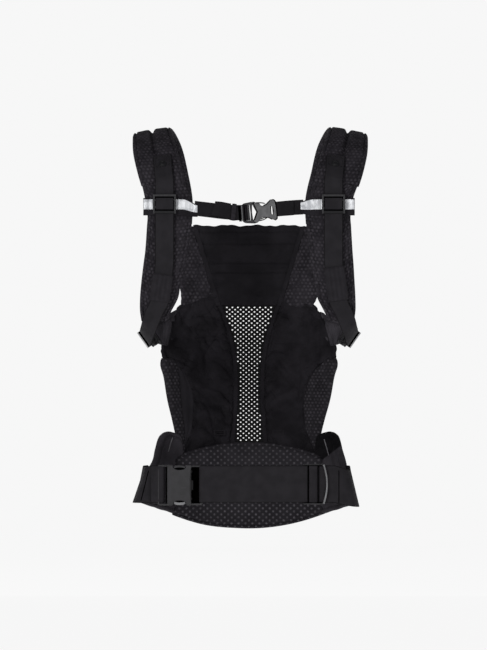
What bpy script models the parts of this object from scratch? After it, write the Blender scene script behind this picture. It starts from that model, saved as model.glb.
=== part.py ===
"""Soft baby carrier, fastened as it is worn, with nobody in it.

Frame: metres, +Z up, +Y from the wearer's back towards the baby, +X to the wearer's
right as seen from behind. The origin is the middle of the waist loop, at the height
of the waist webbing's centre line. Every soft piece is a plain solid of its true
outer size; the buckles and adjusters have their working shapes.
"""

import math

import bmesh
import bpy
from mathutils import Matrix, Vector

# ---------------------------------------------------------------- driving dimensions
GAP = 0.0004            # clearance between neighbouring pieces
WAIST_WEB = 0.050       # width of the waist webbing
CHEST_WEB = 0.020       # width of the chest webbing
STRAP_WEB = 0.025       # width of the shoulder webbing
WEB_THICK = 0.0014      # all webbing
PAD_THICK = 0.012       # shoulder pads
BELLY_THICK = 0.016     # waist pad in front of the belly
WING_THICK = 0.010      # padded waistbelt ends
PANEL_THICK = 0.006     # lined fabric of the body panel
LEG_THICK = 0.010       # padded leg openings
MESH_THICK = 0.0016     # open mesh window

NEAR_Y = -0.095         # plane of the waist webbing and of the pads on the wearer's back
CHEST_Z = 0.370         # height of the chest strap at the shoulder pads
BAR = 0.0034             # webbing bars of the buckles, square
BAR_WRAP = 0.0036        # from a bar's middle to the middle of the webbing round it

SIDES = (("left", -1), ("right", 1))

# Centre depth of the body panel, and how far it falls back towards the wearer at
# 0.1 m from the middle, both against height.
PANEL_DEPTH = ((0.058, 0.103), (0.100, 0.116), (0.150, 0.128), (0.190, 0.128),
               (0.242, 0.118), (0.300, 0.104), (0.346, 0.093))
PANEL_FALL = ((0.058, 0.036), (0.100, 0.042), (0.150, 0.044), (0.190, 0.038),
              (0.242, 0.026), (0.300, 0.020), (0.346, 0.015))
PANEL_LOW, WINDOW_TOP, FOLD_LEVEL, PANEL_TOP = 0.0605, 0.242, 0.290, 0.346
PANEL_SAG = 2.3         # curve of the panel's lower edge, per metre of half-width squared
SAG_FADE = 0.140        # level at which that curve has faded out

# Half-widths of the panel's seams against height.
WINDOW_HALF = ((0.058, 0.0185), (0.085, 0.0165), (0.112, 0.0145), (0.153, 0.015),
               (0.180, 0.018), (0.207, 0.0245), (0.242, 0.0365))
BAND_WIDTH = 0.008
HEAD_HALF = ((0.242, 0.0445), (0.346, 0.0755))
LEG_SEAM = ((0.058, 0.092), (0.068, 0.086), (0.086, 0.077), (0.113, 0.075),
            (0.146, 0.086), (0.160, 0.099), (0.170, 0.112))
PANEL_EDGE = ((0.058, 0.097), (0.080, 0.099), (0.097, 0.103), (0.121, 0.110),
              (0.145, 0.115), (0.161, 0.119), (0.172, 0.118), (0.190, 0.117),
              (0.215, 0.108), (0.235, 0.097), (0.242, 0.092), (0.300, 0.100),
              (0.325, 0.108), (0.346, 0.120))
LEG_TOP = 0.169

# Waist pad: lower and upper edge at the middle, and their rise or fall at its ends.
BELLY_HALF, BELLY_Y, BELLY_FALL = 0.100, 0.092, 0.0272
BELLY_LOW, BELLY_LOW_RISE = -0.0605, 0.0195
BELLY_TOP, BELLY_TOP_FALL = 0.0590, 0.0225

# Padded waistbelt end, from the waist pad round the hip: x, y, lower and upper edge.
WAIST_WING = ((0.1046, 0.0602, -0.041, 0.066), (0.1120, 0.0510, -0.038, 0.072),
              (0.1190, 0.0360, -0.036, 0.068), (0.1255, 0.0140, -0.033, 0.056),
              (0.1310, -0.0120, -0.030, 0.042), (0.1365, -0.0390, -0.027, 0.030),
              (0.1400, -0.0620, -0.026, 0.026))
HIP_LEAN = 0.20         # how far the belt's lower edge stands out over the hip, per metre

# Waist webbing from the padded end round the side to the wearer's back.
WAIST_TURN = ((0.1475, -0.0690), (0.1482, -0.0760), (0.1460, -0.0850), (0.1400, -0.0920),
              (0.1300, NEAR_Y))

# Shoulder pad, from the panel's top corner over the shoulder and down the back:
# x, y, z, half-width, and how far the outer side drops per metre of width.
SHOULDER = ((0.0985, 0.0900, 0.3480, 0.0215, 0.00), (0.1030, 0.0930, 0.3800, 0.027, 0.00),
            (0.1100, 0.0840, 0.4150, 0.031, 0.03), (0.1180, 0.0620, 0.4450, 0.033, 0.08),
            (0.1240, 0.0330, 0.4650, 0.031, 0.14), (0.1280, 0.0000, 0.4720, 0.0295, 0.17),
            (0.1285, -0.0360, 0.4650, 0.029, 0.15), (0.1255, -0.0680, 0.4470, 0.033, 0.08),
            (0.1195, -0.0880, 0.4240, 0.034, 0.02), (0.1145, NEAR_Y, 0.4050, 0.033, 0.00),
            (0.1090, NEAR_Y, 0.3650, 0.031, 0.00), (0.1070, NEAR_Y, 0.3300, 0.032, 0.00),
            (0.1090, NEAR_Y, 0.3050, 0.032, 0.00), (0.1130, NEAR_Y, 0.2850, 0.030, 0.00),
            (0.1190, NEAR_Y, 0.2620, 0.0275, 0.00),
            (0.1265, NEAR_Y, 0.2380, 0.022, 0.00),
            (0.1315, NEAR_Y, 0.2190, 0.015, 0.00))

STRAP_X = 0.1135        # the straight stretch of shoulder webbing that the chest strap slides on
WEB_STAND_OFF = 0.0052  # webbing's middle above the pad's face there
SIDE_LEAN = 0.70        # lean of the side buckles, outwards at the top


def on_table(table, at):
    """Straight-line reading of a ((key, value), ...) table."""
    for (k0, v0), (k1, v1) in zip(table, table[1:]):
        if at <= k1:
            return v0 + (v1 - v0) * max(0.0, at - k0) / (k1 - k0)
    return table[-1][1]


def smooth_through(rows, steps):
    """Catmull-Rom rows of numbers through the given rows, steps to a span."""
    ends = [rows[0], *rows, rows[-1]]
    found = []
    for a, b, c, d in zip(ends, ends[1:], ends[2:], ends[3:]):
        for i in range(steps):
            t = i / steps
            found.append([
                0.5 * (2 * q + (r - p) * t + (2 * p - 5 * q + 4 * r - s) * t * t
                       + (3 * q - p - 3 * r + s) * t ** 3)
                for p, q, r, s in zip(a, b, c, d)
            ])
    return found + [list(rows[-1])]


# ---------------------------------------------------------------- scene and materials
for old in list(bpy.data.objects):
    bpy.data.objects.remove(old)

carrier = bpy.data.collections.new("soft_baby_carrier")
cutters = bpy.data.collections.new("cutters")
for made in (carrier, cutters):
    bpy.context.scene.collection.children.link(made)
cutters.hide_render = True


def material(name, colour, roughness, metallic=0.0):
    made = bpy.data.materials.new(name)
    made.use_nodes = True
    shader = made.node_tree.nodes["Principled BSDF"]
    shader.inputs["Base Color"].default_value = (*colour, 1.0)
    shader.inputs["Roughness"].default_value = roughness
    shader.inputs["Metallic"].default_value = metallic
    made.diffuse_color = (*colour, 1.0)
    return made


FABRIC = material("smooth_fabric", (0.014, 0.014, 0.016), 0.85)
SPACER = material("spacer_mesh", (0.022, 0.022, 0.025), 0.90)
WEBBING = material("webbing", (0.018, 0.018, 0.020), 0.75)
ELASTIC = material("elastic", (0.020, 0.020, 0.022), 0.80)
PLASTIC = material("acetal", (0.030, 0.030, 0.033), 0.40)
TAPE = material("reflective_tape", (0.55, 0.57, 0.60), 0.35)


def add_object(name, data, finish=None, parent=None, where=None):
    """Links a new object; one with no finish is a cutter."""
    obj = bpy.data.objects.new(name, data)
    if finish is None:
        cutters.objects.link(obj)
        obj.hide_render = True
        obj.display_type = "WIRE"
    else:
        carrier.objects.link(obj)
        data.materials.append(finish)
    obj.parent = parent
    if where is not None:
        obj.location = where
    return obj


def mesh_from(bm, name):
    bmesh.ops.recalc_face_normals(bm, faces=bm.faces)
    mesh = bpy.data.meshes.new(name)
    bm.to_mesh(mesh)
    bm.free()
    return mesh


# ---------------------------------------------------------------- solids
def sheet_faces(bm, rows):
    """Quads between rows of points."""
    grid = [[bm.verts.new(p) for p in row] for row in rows]
    for low, high in zip(grid, grid[1:]):
        for a, b, c, d in zip(low, low[1:], high[1:], high):
            bm.faces.new((a, b, c, d))


def panel_solid(name, rows, thickness, finish):
    """A fabric piece: rows of middle points, thickened along Y."""
    bm = bmesh.new()
    back = Vector((0, thickness / 2, 0))
    sheet_faces(bm, [[p + back for p in row] for row in rows])
    pushed = bmesh.ops.extrude_face_region(bm, geom=list(bm.faces))
    moved = [v for v in pushed["geom"] if isinstance(v, bmesh.types.BMVert)]
    bmesh.ops.translate(bm, verts=moved, vec=(0, -thickness, 0))
    return add_object(name, mesh_from(bm, name), finish)


def strip(name, stations, thickness, finish):
    """A strap: an open surface along (centre, half-width vector) stations, thickened both ways."""
    bm = bmesh.new()
    sheet_faces(bm, [[c - across, c + across] for c, across in stations])
    mesh = mesh_from(bm, name)
    obj = add_object(name, mesh, finish)
    solid = obj.modifiers.new("thickness", "SOLIDIFY")
    solid.thickness = thickness
    solid.offset = 0.0
    solid.use_even_offset = True
    return obj


def outward(stations, i):
    """Unit normal of a strap at a station, and the stretch that keeps an offset even at a bend."""
    normals = []
    for j in (i - 1, i):
        if 0 <= j < len(stations) - 1:
            run = stations[j + 1][0] - stations[j][0]
            normals.append(run.cross(stations[i][1]).normalized())
    middle = sum(normals, Vector()).normalized()
    return middle, 1.0 / max(0.5, middle.dot(normals[0]))


def raised(stations, heights):
    """The strap's stations moved off its surface by a height at each."""
    moved = []
    for i, ((centre, across), height) in enumerate(zip(stations, heights)):
        normal, stretch = outward(stations, i)
        moved.append((centre + normal * height * stretch, across))
    return moved


def round_bar(bar, towards, arrive, across, tail):
    """Stations that carry webbing round a bar and back; arrive is the side it comes in on."""
    found = []
    for k in range(7):
        angle = math.pi * k / 6
        way = arrive * math.cos(angle) + towards * math.sin(angle)
        found.append((bar + way * BAR_WRAP, across))
    return found + [(bar - arrive * BAR_WRAP - towards * tail, across)]


def mirrored(stations):
    """The same strap on the other side, with its outer face still outside."""
    return [(Vector((-c.x, c.y, c.z)), Vector((a.x, -a.y, -a.z))) for c, a in stations]


def on_side(stations, sign):
    return stations if sign > 0 else mirrored(stations)


def block(name, centre, size, finish=None, parent=None, bevel=0.0):
    """A box, or a cutter when it has no finish."""
    bm = bmesh.new()
    bmesh.ops.create_cube(bm, size=1.0, matrix=Matrix.Diagonal((*size, 1.0)))
    obj = add_object(name, mesh_from(bm, name), finish, parent, centre)
    if bevel:
        rounding = obj.modifiers.new("rounding", "BEVEL")
        rounding.width = bevel
        rounding.segments = 2
        rounding.limit_method = "ANGLE"
    return obj


def drum(name, centre, radius, depth, parent=None, segments=24):
    """A cylinder along Y, used as a cutter."""
    bm = bmesh.new()
    turn = Matrix.Rotation(math.pi / 2, 4, "X")
    bmesh.ops.create_cone(bm, cap_ends=True, segments=segments, radius1=radius,
                          radius2=radius, depth=depth, matrix=turn)
    return add_object(name, mesh_from(bm, name), None, parent, centre)


def combine(obj, other, operation):
    step = obj.modifiers.new(operation.lower(), "BOOLEAN")
    step.operation = operation
    step.solver = "EXACT"
    step.object = other


def flat_outline(name, outline, thickness, finish, parent, where):
    """A flat piece from an X-Z outline, thickened along Y."""
    curve = bpy.data.curves.new(name, "CURVE")
    curve.dimensions = "2D"
    curve.fill_mode = "BOTH"
    curve.extrude = thickness / 2
    spline = curve.splines.new("POLY")
    spline.points.add(len(outline) - 1)
    for point, (x, z) in zip(spline.points, outline):
        point.co = (x, z, 0.0, 1.0)
    spline.use_cyclic_u = True
    obj = add_object(name, curve, finish, parent, where)
    obj.rotation_euler = (math.pi / 2, 0, 0)
    return obj


# ---------------------------------------------------------------- body panel
def panel_point(x, level, proud=0.0):
    """A point of the panel's middle surface; proud moves it towards the wearer."""
    fade = max(0.0, (SAG_FADE - level) / (SAG_FADE - PANEL_LOW))
    depth = on_table(PANEL_DEPTH, level) - on_table(PANEL_FALL, level) * (x / 0.1) ** 2
    return Vector((x, depth - proud, level - PANEL_SAG * min(1.0, fade) * x * x))


def panel_patch(name, inner, outer, low, high, thickness, finish, sign, rows=7, columns=4):
    """The stretch of panel between two seams, each a half-width at a height."""
    levels = [low + (high - low) * i / (rows - 1) for i in range(rows)]
    grid = []
    for level in levels:
        near, far = inner(level) + GAP / 2, outer(level) - GAP / 2
        grid.append([panel_point(sign * (near + (far - near) * j / (columns - 1)), level)
                     for j in range(columns)])
    return panel_solid(name, grid, thickness, finish)


def window_edge(level):
    return on_table(WINDOW_HALF, level)


def band_edge(level):
    return window_edge(level) + BAND_WIDTH


def head_edge(level):
    return on_table(HEAD_HALF, level)


def leg_seam(level):
    return min(on_table(LEG_SEAM, level), on_table(PANEL_EDGE, level))


def panel_edge(level):
    return on_table(PANEL_EDGE, level)


def full_width(edge):
    """The left limit of a patch that spans the middle."""
    return lambda level: -edge(level)


def make_panel():
    panel_patch("mesh_window", full_width(window_edge), window_edge, PANEL_LOW,
                WINDOW_TOP - GAP, MESH_THICK, FABRIC, 1, rows=10, columns=5)
    panel_patch("neck_panel", full_width(head_edge), head_edge, WINDOW_TOP, FOLD_LEVEL - GAP,
                PANEL_THICK, FABRIC, 1, rows=4, columns=7)
    panel_patch("head_support", full_width(head_edge), head_edge, FOLD_LEVEL, PANEL_TOP,
                PANEL_THICK, FABRIC, 1, rows=4, columns=7)
    for side, sign in SIDES:
        panel_patch(f"window_band_{side}", window_edge, band_edge, PANEL_LOW,
                    WINDOW_TOP - GAP, PANEL_THICK / 2, FABRIC, sign, rows=10, columns=2)
        panel_patch(f"upper_side_panel_{side}", head_edge, panel_edge, WINDOW_TOP, PANEL_TOP,
                    PANEL_THICK, SPACER, sign, rows=6)
        make_seat(side, sign)
        make_side_wing(side, sign)
        make_seat_adjuster(side, sign)


SEAT_LEVELS = (PANEL_LOW, 0.068, 0.077, 0.086, 0.099, 0.113, 0.130, 0.146, 0.158, LEG_TOP)


def make_seat(side, sign):
    """Beside the window: a seat panel that reaches the panel's edge above the leg padding,
    and the padding of the leg opening, which shares its curved seam."""
    pad, seat = [], []
    for level in SEAT_LEVELS:
        seam, edge = leg_seam(level), panel_edge(level)
        pad.append([panel_point(sign * (seam + GAP + (edge - seam - GAP) * j / 2), level)
                    for j in range(3)])
        near = band_edge(level) + GAP / 2
        seat.append([panel_point(sign * (near + (seam - near) * j / 4), level)
                     for j in range(5)])
    for level in (LEG_TOP + 2 * GAP, 0.190, 0.215, 0.235, WINDOW_TOP - GAP):
        near, edge = band_edge(level) + GAP / 2, panel_edge(level)
        seat.append([panel_point(sign * (near + (edge - near) * j / 4), level)
                     for j in range(5)])
    panel_solid(f"leg_pad_{side}", pad, LEG_THICK, SPACER)
    panel_solid(f"seat_panel_{side}", seat, PANEL_THICK, FABRIC)


# Side wing: gathered fabric from the panel's edge towards the wearer's back. It ends
# in the webbing that carries the buckle's socket.
WING_TOP_ROOT, WING_LOW_ROOT = 0.236, 0.193
WING_END = Vector((0.1285, 0.0080, 0.2030))
BUCKLE_END = Vector((0.1390, -0.0740, 0.1960))
SIDE_MOUTH = 0.0475           # from the end of the side wing to the buckle's mouth


def side_axis():
    """Pull-out direction of the right side buckle, its width direction, and its outer normal."""
    pull = (BUCKLE_END - WING_END).normalized()
    across = Vector((SIDE_LEAN, 0, 1))
    across = (across - pull * across.dot(pull)).normalized()
    return pull, across, across.cross(pull).normalized()


def make_side_wing(side, sign):
    pull, across, normal = side_axis()
    clear = 0.0045                # the wing starts just past the panel's edge
    top = panel_point(panel_edge(WING_TOP_ROOT) + clear, WING_TOP_ROOT)
    low = panel_point(panel_edge(WING_LOW_ROOT) + clear, WING_LOW_ROOT)
    half_end = STRAP_WEB / 2 + 0.002
    rows = []
    for i in range(6):
        t = i / 5
        ease = t * t * (3 - 2 * t)
        bow = Vector((0.009, 0, 0)) * math.sin(math.pi * t)
        upper = top.lerp(WING_END + across * half_end, t) + bow
        lower = low.lerp(WING_END - across * half_end, t) + bow
        middle = (upper + lower) / 2
        half = (upper - lower) / 2
        rows.append((middle, half.lerp(across * half.length, ease)))
    rows = [(c, -a) for c, a in rows]     # so that the outer face is away from the wearer
    strip(f"side_wing_{side}", on_side(rows, sign), 0.004, FABRIC)
    bar = WING_END + pull * (SIDE_MOUTH - bar_reach(SIDE_BUCKLE)[0])
    half = -across * STRAP_WEB / 2
    stations = [(WING_END + pull * GAP, half), *round_bar(bar, pull, -normal, half, 0.006)]
    strip(f"side_webbing_{side}", on_side(stations, sign), WEB_THICK, WEBBING)


ADJUSTER_X, ADJUSTER_LEVEL = 0.0400, 0.071


def make_seat_adjuster(side, sign):
    """The tab that narrows or widens the seat, on the panel's inner face."""
    slope = -2 * on_table(PANEL_FALL, ADJUSTER_LEVEL) * ADJUSTER_X / 0.01
    place = panel_point(sign * ADJUSTER_X, ADJUSTER_LEVEL, proud=PANEL_THICK / 2 + 0.0037)
    tab = block(f"seat_adjuster_{side}", place, (0.017, 0.0030, 0.0075), PLASTIC, bevel=0.001)
    tab.rotation_euler = (0, 0, math.atan(slope) * sign)


# ---------------------------------------------------------------- waistbelt
def make_waist_pad():
    rows = []
    columns = 11
    for i in range(columns):
        x = BELLY_HALF * (2 * i / (columns - 1) - 1)
        u = (x / BELLY_HALF) ** 2
        y = BELLY_Y - BELLY_FALL * u
        low, top = BELLY_LOW + BELLY_LOW_RISE * u, BELLY_TOP - BELLY_TOP_FALL * u
        rows.append([Vector((x, y, low + (top - low) * j / 3)) for j in range(4)])
    panel_solid("waist_pad", rows, BELLY_THICK, SPACER)


def hip_lean(y):
    """Share of the belt's lean over the hip, from none at the belly to all at the side."""
    t = min(1.0, max(0.0, (0.055 - y) / 0.100))
    return HIP_LEAN * t * t * (3 - 2 * t)


def plan_normal(rows, i):
    """Outward level direction at a point of the right side's path, seen from above."""
    ahead, behind = rows[min(i + 1, len(rows) - 1)], rows[max(i - 1, 0)]
    return Vector((behind[1] - ahead[1], ahead[0] - behind[0], 0)).normalized()


def waist_wing_stations():
    rows = smooth_through(WAIST_WING, 2)
    found = []
    for i, (x, y, low, top) in enumerate(rows):
        across = (plan_normal(rows, i) * hip_lean(y) + Vector((0, 0, -1))) * (top - low) / 2
        middle = Vector((x, y, 0)) - across * (low + top) / (top - low)
        found.append((middle, across))
    return found


def make_waist_wings():
    for side, sign in SIDES:
        strip(f"waist_wing_{side}", on_side(waist_wing_stations(), sign), WING_THICK, SPACER)


def belt_web_stations():
    """Waist webbing on the padded end, round the side and up to the straight run."""
    wing = waist_wing_stations()
    on_wing = [k for k, (c, _) in enumerate(wing) if c.y < -0.020]
    lift = [(WING_THICK + WEB_THICK) / 2 + GAP] * len(wing)
    proud = raised(wing, lift)
    found = []
    for k in on_wing:
        centre, across = proud[k]
        way = across.normalized()
        found.append((centre - way * (centre.z / way.z), way * WAIST_WEB / 2))
    rows = smooth_through(WAIST_TURN, 2)
    for i, (x, y) in enumerate(rows):
        fade = max(0.0, 1 - i / (len(rows) - 2))
        across = plan_normal(rows, i) * HIP_LEAN * fade + Vector((0, 0, -1))
        found.append((Vector((x, y, 0)), across.normalized() * WAIST_WEB / 2))
    return found


# Webbing width, body length, length of the frame behind it, plug base length, thickness
# and finger cut-out depth of each size of side-release buckle.
WAIST_BUCKLE = (WAIST_WEB, 0.0330, 0.0115, 0.0155, 0.0120, 0.0080)
CHEST_BUCKLE = (CHEST_WEB, 0.0260, 0.0085, 0.0105, 0.0088, 0.0042)
SIDE_BUCKLE = (STRAP_WEB, 0.0280, 0.0095, 0.0150, 0.0095, 0.0046)


def bar_reach(spec):
    """From a buckle's mouth back to its socket's bar, and on to its plug's bar."""
    return spec[1] + spec[2] - BAR / 2, GAP + spec[3] - BAR / 2


WAIST_MOUTH = Vector((-0.0770, NEAR_Y - 0.0015, 0))    # where the buckle's halves meet
LOOP_END = 0.0960
LOOP_Y = NEAR_Y - WEB_THICK - 2 * GAP


def make_waist_webbing():
    to_socket, to_plug = bar_reach(WAIST_BUCKLE)
    down = Vector((0, 0, -WAIST_WEB / 2))
    inward = Vector((0, 1, 0))
    left_bar = WAIST_MOUTH - Vector((to_socket, 0, 0))
    left = mirrored(belt_web_stations())
    left += round_bar(left_bar, Vector((1, 0, 0)), inward, -down, 0.014)
    strip("waist_webbing_left", left, WEB_THICK, WEBBING)
    right_bar = WAIST_MOUTH + Vector((to_plug, 0, 0))
    right = belt_web_stations() + [(Vector((x, NEAR_Y, 0)), down) for x in (0.060, -0.030)]
    right += round_bar(right_bar, Vector((-1, 0, 0)), inward, down, 0.003)
    right += [(Vector((x, LOOP_Y, 0)), down) for x in (-0.030, 0.060, LOOP_END)]
    strip("waist_webbing_right", right, WEB_THICK, WEBBING)


def web_clamp(name, centre, length, web, layers, finish, parent=None, bars="adjuster"):
    """A frame that webbing threads through along X: rails, front bars and a middle back bar.
    centre is on the webbing's middle surface; layers is the webbing stack's thickness."""
    rail, front, back = 0.0030, 0.0022, 0.0014
    slot = layers + 2 * GAP
    depth = front + slot + back
    height = web + 2 * GAP + 2 * rail
    middle = Vector(centre) + Vector((0, (back - front) / 2, 0))
    body = block(name, middle, (length, depth, height), finish, parent)
    open_z = web + 2 * GAP
    channel = block(f"{name}_channel", centre, (length + 0.01, slot, open_z), parent=parent)
    combine(body, channel, "DIFFERENCE")
    bar = 0.0032
    face_y = middle.y - depth / 2
    if bars == "adjuster":
        spans = ((-length / 2 + bar, -0.0015), (0.0015, length / 2 - bar))
    else:
        spans = ((-length / 2 + bar, length / 2 - bar),)
    for k, (x0, x1) in enumerate(spans):
        window = block(f"{name}_front_{k}", (centre[0] + (x0 + x1) / 2, face_y, centre[2]),
                       (x1 - x0, 2 * front + slot, open_z), parent=parent)
        combine(body, window, "DIFFERENCE")
    back_y = middle.y + depth / 2
    for k, edge in enumerate((-1, 1)):
        reach = length / 2 - 0.0055
        window = block(f"{name}_back_{k}", (centre[0] + edge * (length / 2 - reach / 2 + 0.001),
                       back_y, centre[2]), (reach + 0.002, 2 * back + slot, open_z), parent=parent)
        if bars != "keeper":
            combine(body, window, "DIFFERENCE")
    return body


def band_loop(name, centre, length, web, layers, parent=None, turn=0.0):
    """An elastic keeper: a flat tube round the webbing, which runs along X."""
    wall = 0.0009
    inside = (length + 0.01, layers + 2 * GAP, web + 2 * GAP)
    outside = (length, inside[1] + 2 * wall, inside[2] + 2 * wall)
    body = block(name, centre, outside, ELASTIC, parent)
    hole = block(f"{name}_hole", centre, inside, parent=parent)
    combine(body, hole, "DIFFERENCE")
    for obj in (body, hole):
        obj.rotation_euler = (0, turn, 0)
    return body


TWO_LAYERS = 2 * WEB_THICK + 2 * GAP
STACK_Y = (NEAR_Y + LOOP_Y) / 2


def make_waist_fittings():
    web_clamp("waist_adjuster", (0.0895, STACK_Y, 0), 0.035, WAIST_WEB, TWO_LAYERS, PLASTIC)


# ---------------------------------------------------------------- side-release buckles
def buckle(prefix, spec, pose):
    """Socket, plug and two sprung release arms. Locally the plug pulls out along +X, the
    webbing's width is Z, the outer face is -Y and the socket's mouth is at X = 0."""
    web, housing, bar_frame, base, thick, notch = spec
    hub = bpy.data.objects.new(f"{prefix}_frame", None)
    carrier.objects.link(hub)
    hub.matrix_world = pose
    half = web / 2 + 0.0035
    wall = 0.0022
    cavity_y = thick - 2 * wall
    arm_out = half - notch + 0.0008
    mouth_half = arm_out + 0.0003
    shoulder = 0.35 * housing
    root_out = mouth_half - 0.0004
    inner = root_out - (0.0018 + web * 0.045)
    tongue_half = web * 0.13
    bar = BAR
    slot_z = web + 0.0010

    socket = block(f"{prefix}_socket", (-housing / 2, 0, 0), (housing, thick, 2 * half),
                   PLASTIC, hub, bevel=0.0012)
    frame = block(f"{prefix}_socket_frame", (-housing - bar_frame / 2 + 0.001, 0, 0),
                  (bar_frame + 0.002, BAR, 2 * half), parent=hub)
    combine(socket, frame, "UNION")
    slot = block(f"{prefix}_socket_slot", (-housing - (bar_frame - bar) / 2, 0, 0),
                 (bar_frame - bar, thick * 2, slot_z), parent=hub)
    combine(socket, slot, "DIFFERENCE")
    near, far = shoulder - 0.0005, housing - 0.0035
    cavity = block(f"{prefix}_socket_cavity", (-(near + far) / 2, 0, 0),
                   (far - near, cavity_y, 2 * arm_out + 0.0012), parent=hub)
    combine(socket, cavity, "DIFFERENCE")
    mouth = block(f"{prefix}_socket_mouth", (0.001 - near / 2, 0, 0),
                  (near + 0.004, cavity_y, 2 * mouth_half), parent=hub)
    combine(socket, mouth, "DIFFERENCE")
    chord = 0.36 * housing
    radius = (chord ** 2 + notch ** 2) / (2 * notch)
    for k, edge in enumerate((-1, 1)):
        bite = drum(f"{prefix}_socket_bite_{k}",
                    (-0.47 * housing, 0, edge * (half + radius - notch)), radius, thick * 3, hub)
        combine(socket, bite, "DIFFERENCE")

    base_thick = thick - 0.003
    start = GAP
    plug = block(f"{prefix}_plug", (start + base / 2, 0, 0), (base, base_thick, 2 * half - 0.001),
                 PLASTIC, hub, bevel=0.0010)
    reach = housing - 0.0065
    tongue = block(f"{prefix}_plug_tongue", ((start + 0.002 - reach) / 2, 0, 0),
                   (reach + start + 0.002, cavity_y - 0.0016, 2 * tongue_half), parent=hub)
    combine(plug, tongue, "UNION")
    eye = block(f"{prefix}_plug_slot", (start + 0.0030 + (base - bar - 0.0030) / 2, 0, 0),
                (base - bar - 0.0030, thick * 2, slot_z), parent=hub)
    combine(plug, eye, "DIFFERENCE")
    for k, edge in enumerate((-1, 1)):
        spare = block(f"{prefix}_plug_bar_{k}", (start + base, edge * (BAR / 2 + thick), 0),
                      (2 * bar + 0.0002, 2 * thick, slot_z), parent=hub)
        combine(plug, spare, "DIFFERENCE")

    tip = 0.0015 - reach
    outline = ((0, inner), (tip + 0.002, inner + 0.0008), (tip, inner + 0.0018),
               (tip * 0.93, arm_out - 0.0012), (tip * 0.78, arm_out), (-shoulder, arm_out),
               (0.0002 - shoulder, root_out), (0, root_out))
    root = (inner + root_out) / 2
    words = ("upper", "lower") if pose.col[2].z > 0 else ("lower", "upper")
    for word, sign in zip(words, (1, -1)):
        shape = [(x, sign * (z - root)) for x, z in outline]
        flat_outline(f"{prefix}_release_{word}", shape, cavity_y - 0.0012, PLASTIC, hub,
                     (0, 0, sign * root))


def facing(origin, pull, inward):
    """Matrix of a buckle whose plug pulls out along pull and whose inner face looks along inward."""
    width = pull.cross(inward).normalized()
    turn = Matrix((pull, inward, width)).transposed().to_4x4()
    turn.translation = origin
    return turn


CHEST_RISE = 0.10            # the chest buckle climbs this much per metre to the right
CHEST_MOUTH = Vector((0.0030, -0.1028, CHEST_Z - 0.0040))
CHEST_PULL = Vector((-1, 0, -CHEST_RISE)).normalized()


def make_buckles():
    buckle("waist", WAIST_BUCKLE, Matrix.Translation(WAIST_MOUTH))
    buckle("chest", CHEST_BUCKLE, facing(CHEST_MOUTH, CHEST_PULL, Vector((0, 1, 0))))
    for side, sign in SIDES:
        pull, across, normal = side_axis()
        mouth = WING_END + pull * SIDE_MOUTH
        if sign < 0:
            pull, normal, mouth = (Vector((-v.x, v.y, v.z)) for v in (pull, normal, mouth))
        buckle(f"side_{side}", SIDE_BUCKLE, facing(mouth, pull, -normal))


# ---------------------------------------------------------------- shoulder straps
def pad_stations():
    found = []
    rows = smooth_through(SHOULDER, 2)
    for i, (x, y, z, half, drop) in enumerate(rows):
        ahead, behind = rows[min(i + 1, len(rows) - 1)], rows[max(i - 1, 0)]
        run = (Vector(ahead[:3]) - Vector(behind[:3])).normalized()
        across = Vector((1, 0, -drop))
        across = (across - run * across.dot(run)).normalized()
        if y <= NEAR_Y + 1e-6:
            across = Vector((1, 0, 0))
            y = NEAR_Y
        found.append((Vector((x, y, z)), across * half))
    return found


ANCHOR_Z = 0.440              # the webbing is sewn to the pad from here down
WEB_Y = NEAR_Y - PAD_THICK / 2 - WEB_STAND_OFF
KEEPER_HIGH, KEEPER_LOW = Vector((0.1146, WEB_Y, 0.2900)), Vector((0.1268, WEB_Y, 0.2420))
KEEPER_LENGTH = 0.026


def strap_web_stations():
    """Webbing from its anchor on the pad, down the straight stretch and through the keeper,
    under the pad's tip and round the bar of the side buckle's plug."""
    pad = pad_stations()
    crest = max(range(len(pad)), key=lambda i: pad[i][0].z)
    upper = [(c, a) for i, (c, a) in enumerate(pad) if i > crest and ANCHOR_Z + 0.012 > c.z > 0.406]
    least = PAD_THICK / 2 + GAP + WEB_THICK / 2
    most = PAD_THICK / 2 + WEB_STAND_OFF
    heights = [least + (most - least) * k / len(upper) for k in range(len(upper))]
    found = []
    for k, (centre, across) in enumerate(raised(upper, heights)):
        shift = (STRAP_X - centre.x) * 0.8 * k / len(upper)
        way = across.normalized()
        found.append((centre + way * shift, way * STRAP_WEB / 2))
    flat = Vector((STRAP_WEB / 2, 0, 0))
    found += [(Vector((STRAP_X, WEB_Y, z)), flat) for z in (0.404, 0.350, 0.297)]
    run = (KEEPER_LOW - KEEPER_HIGH).normalized()
    lean = Vector((-run.z, 0, run.x)) * STRAP_WEB / 2
    found += [(KEEPER_HIGH, lean), (KEEPER_LOW, lean)]
    pull, across, normal = side_axis()
    half = across * STRAP_WEB / 2
    bar = WING_END + pull * (SIDE_MOUTH + bar_reach(SIDE_BUCKLE)[1])
    found += [(Vector((0.1302, WEB_Y, 0.2290)), lean.lerp(half, 0.2)),
              (Vector((0.1345, WEB_Y + 0.0015, 0.2140)), lean.lerp(half, 0.5)),
              (Vector((0.1385, WEB_Y + 0.0120, 0.2020)), lean.lerp(half, 0.8)),
              (bar + pull * 0.020 + normal * 0.006, half)]
    return found + round_bar(bar, -pull, normal, half, 0.012)


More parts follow.
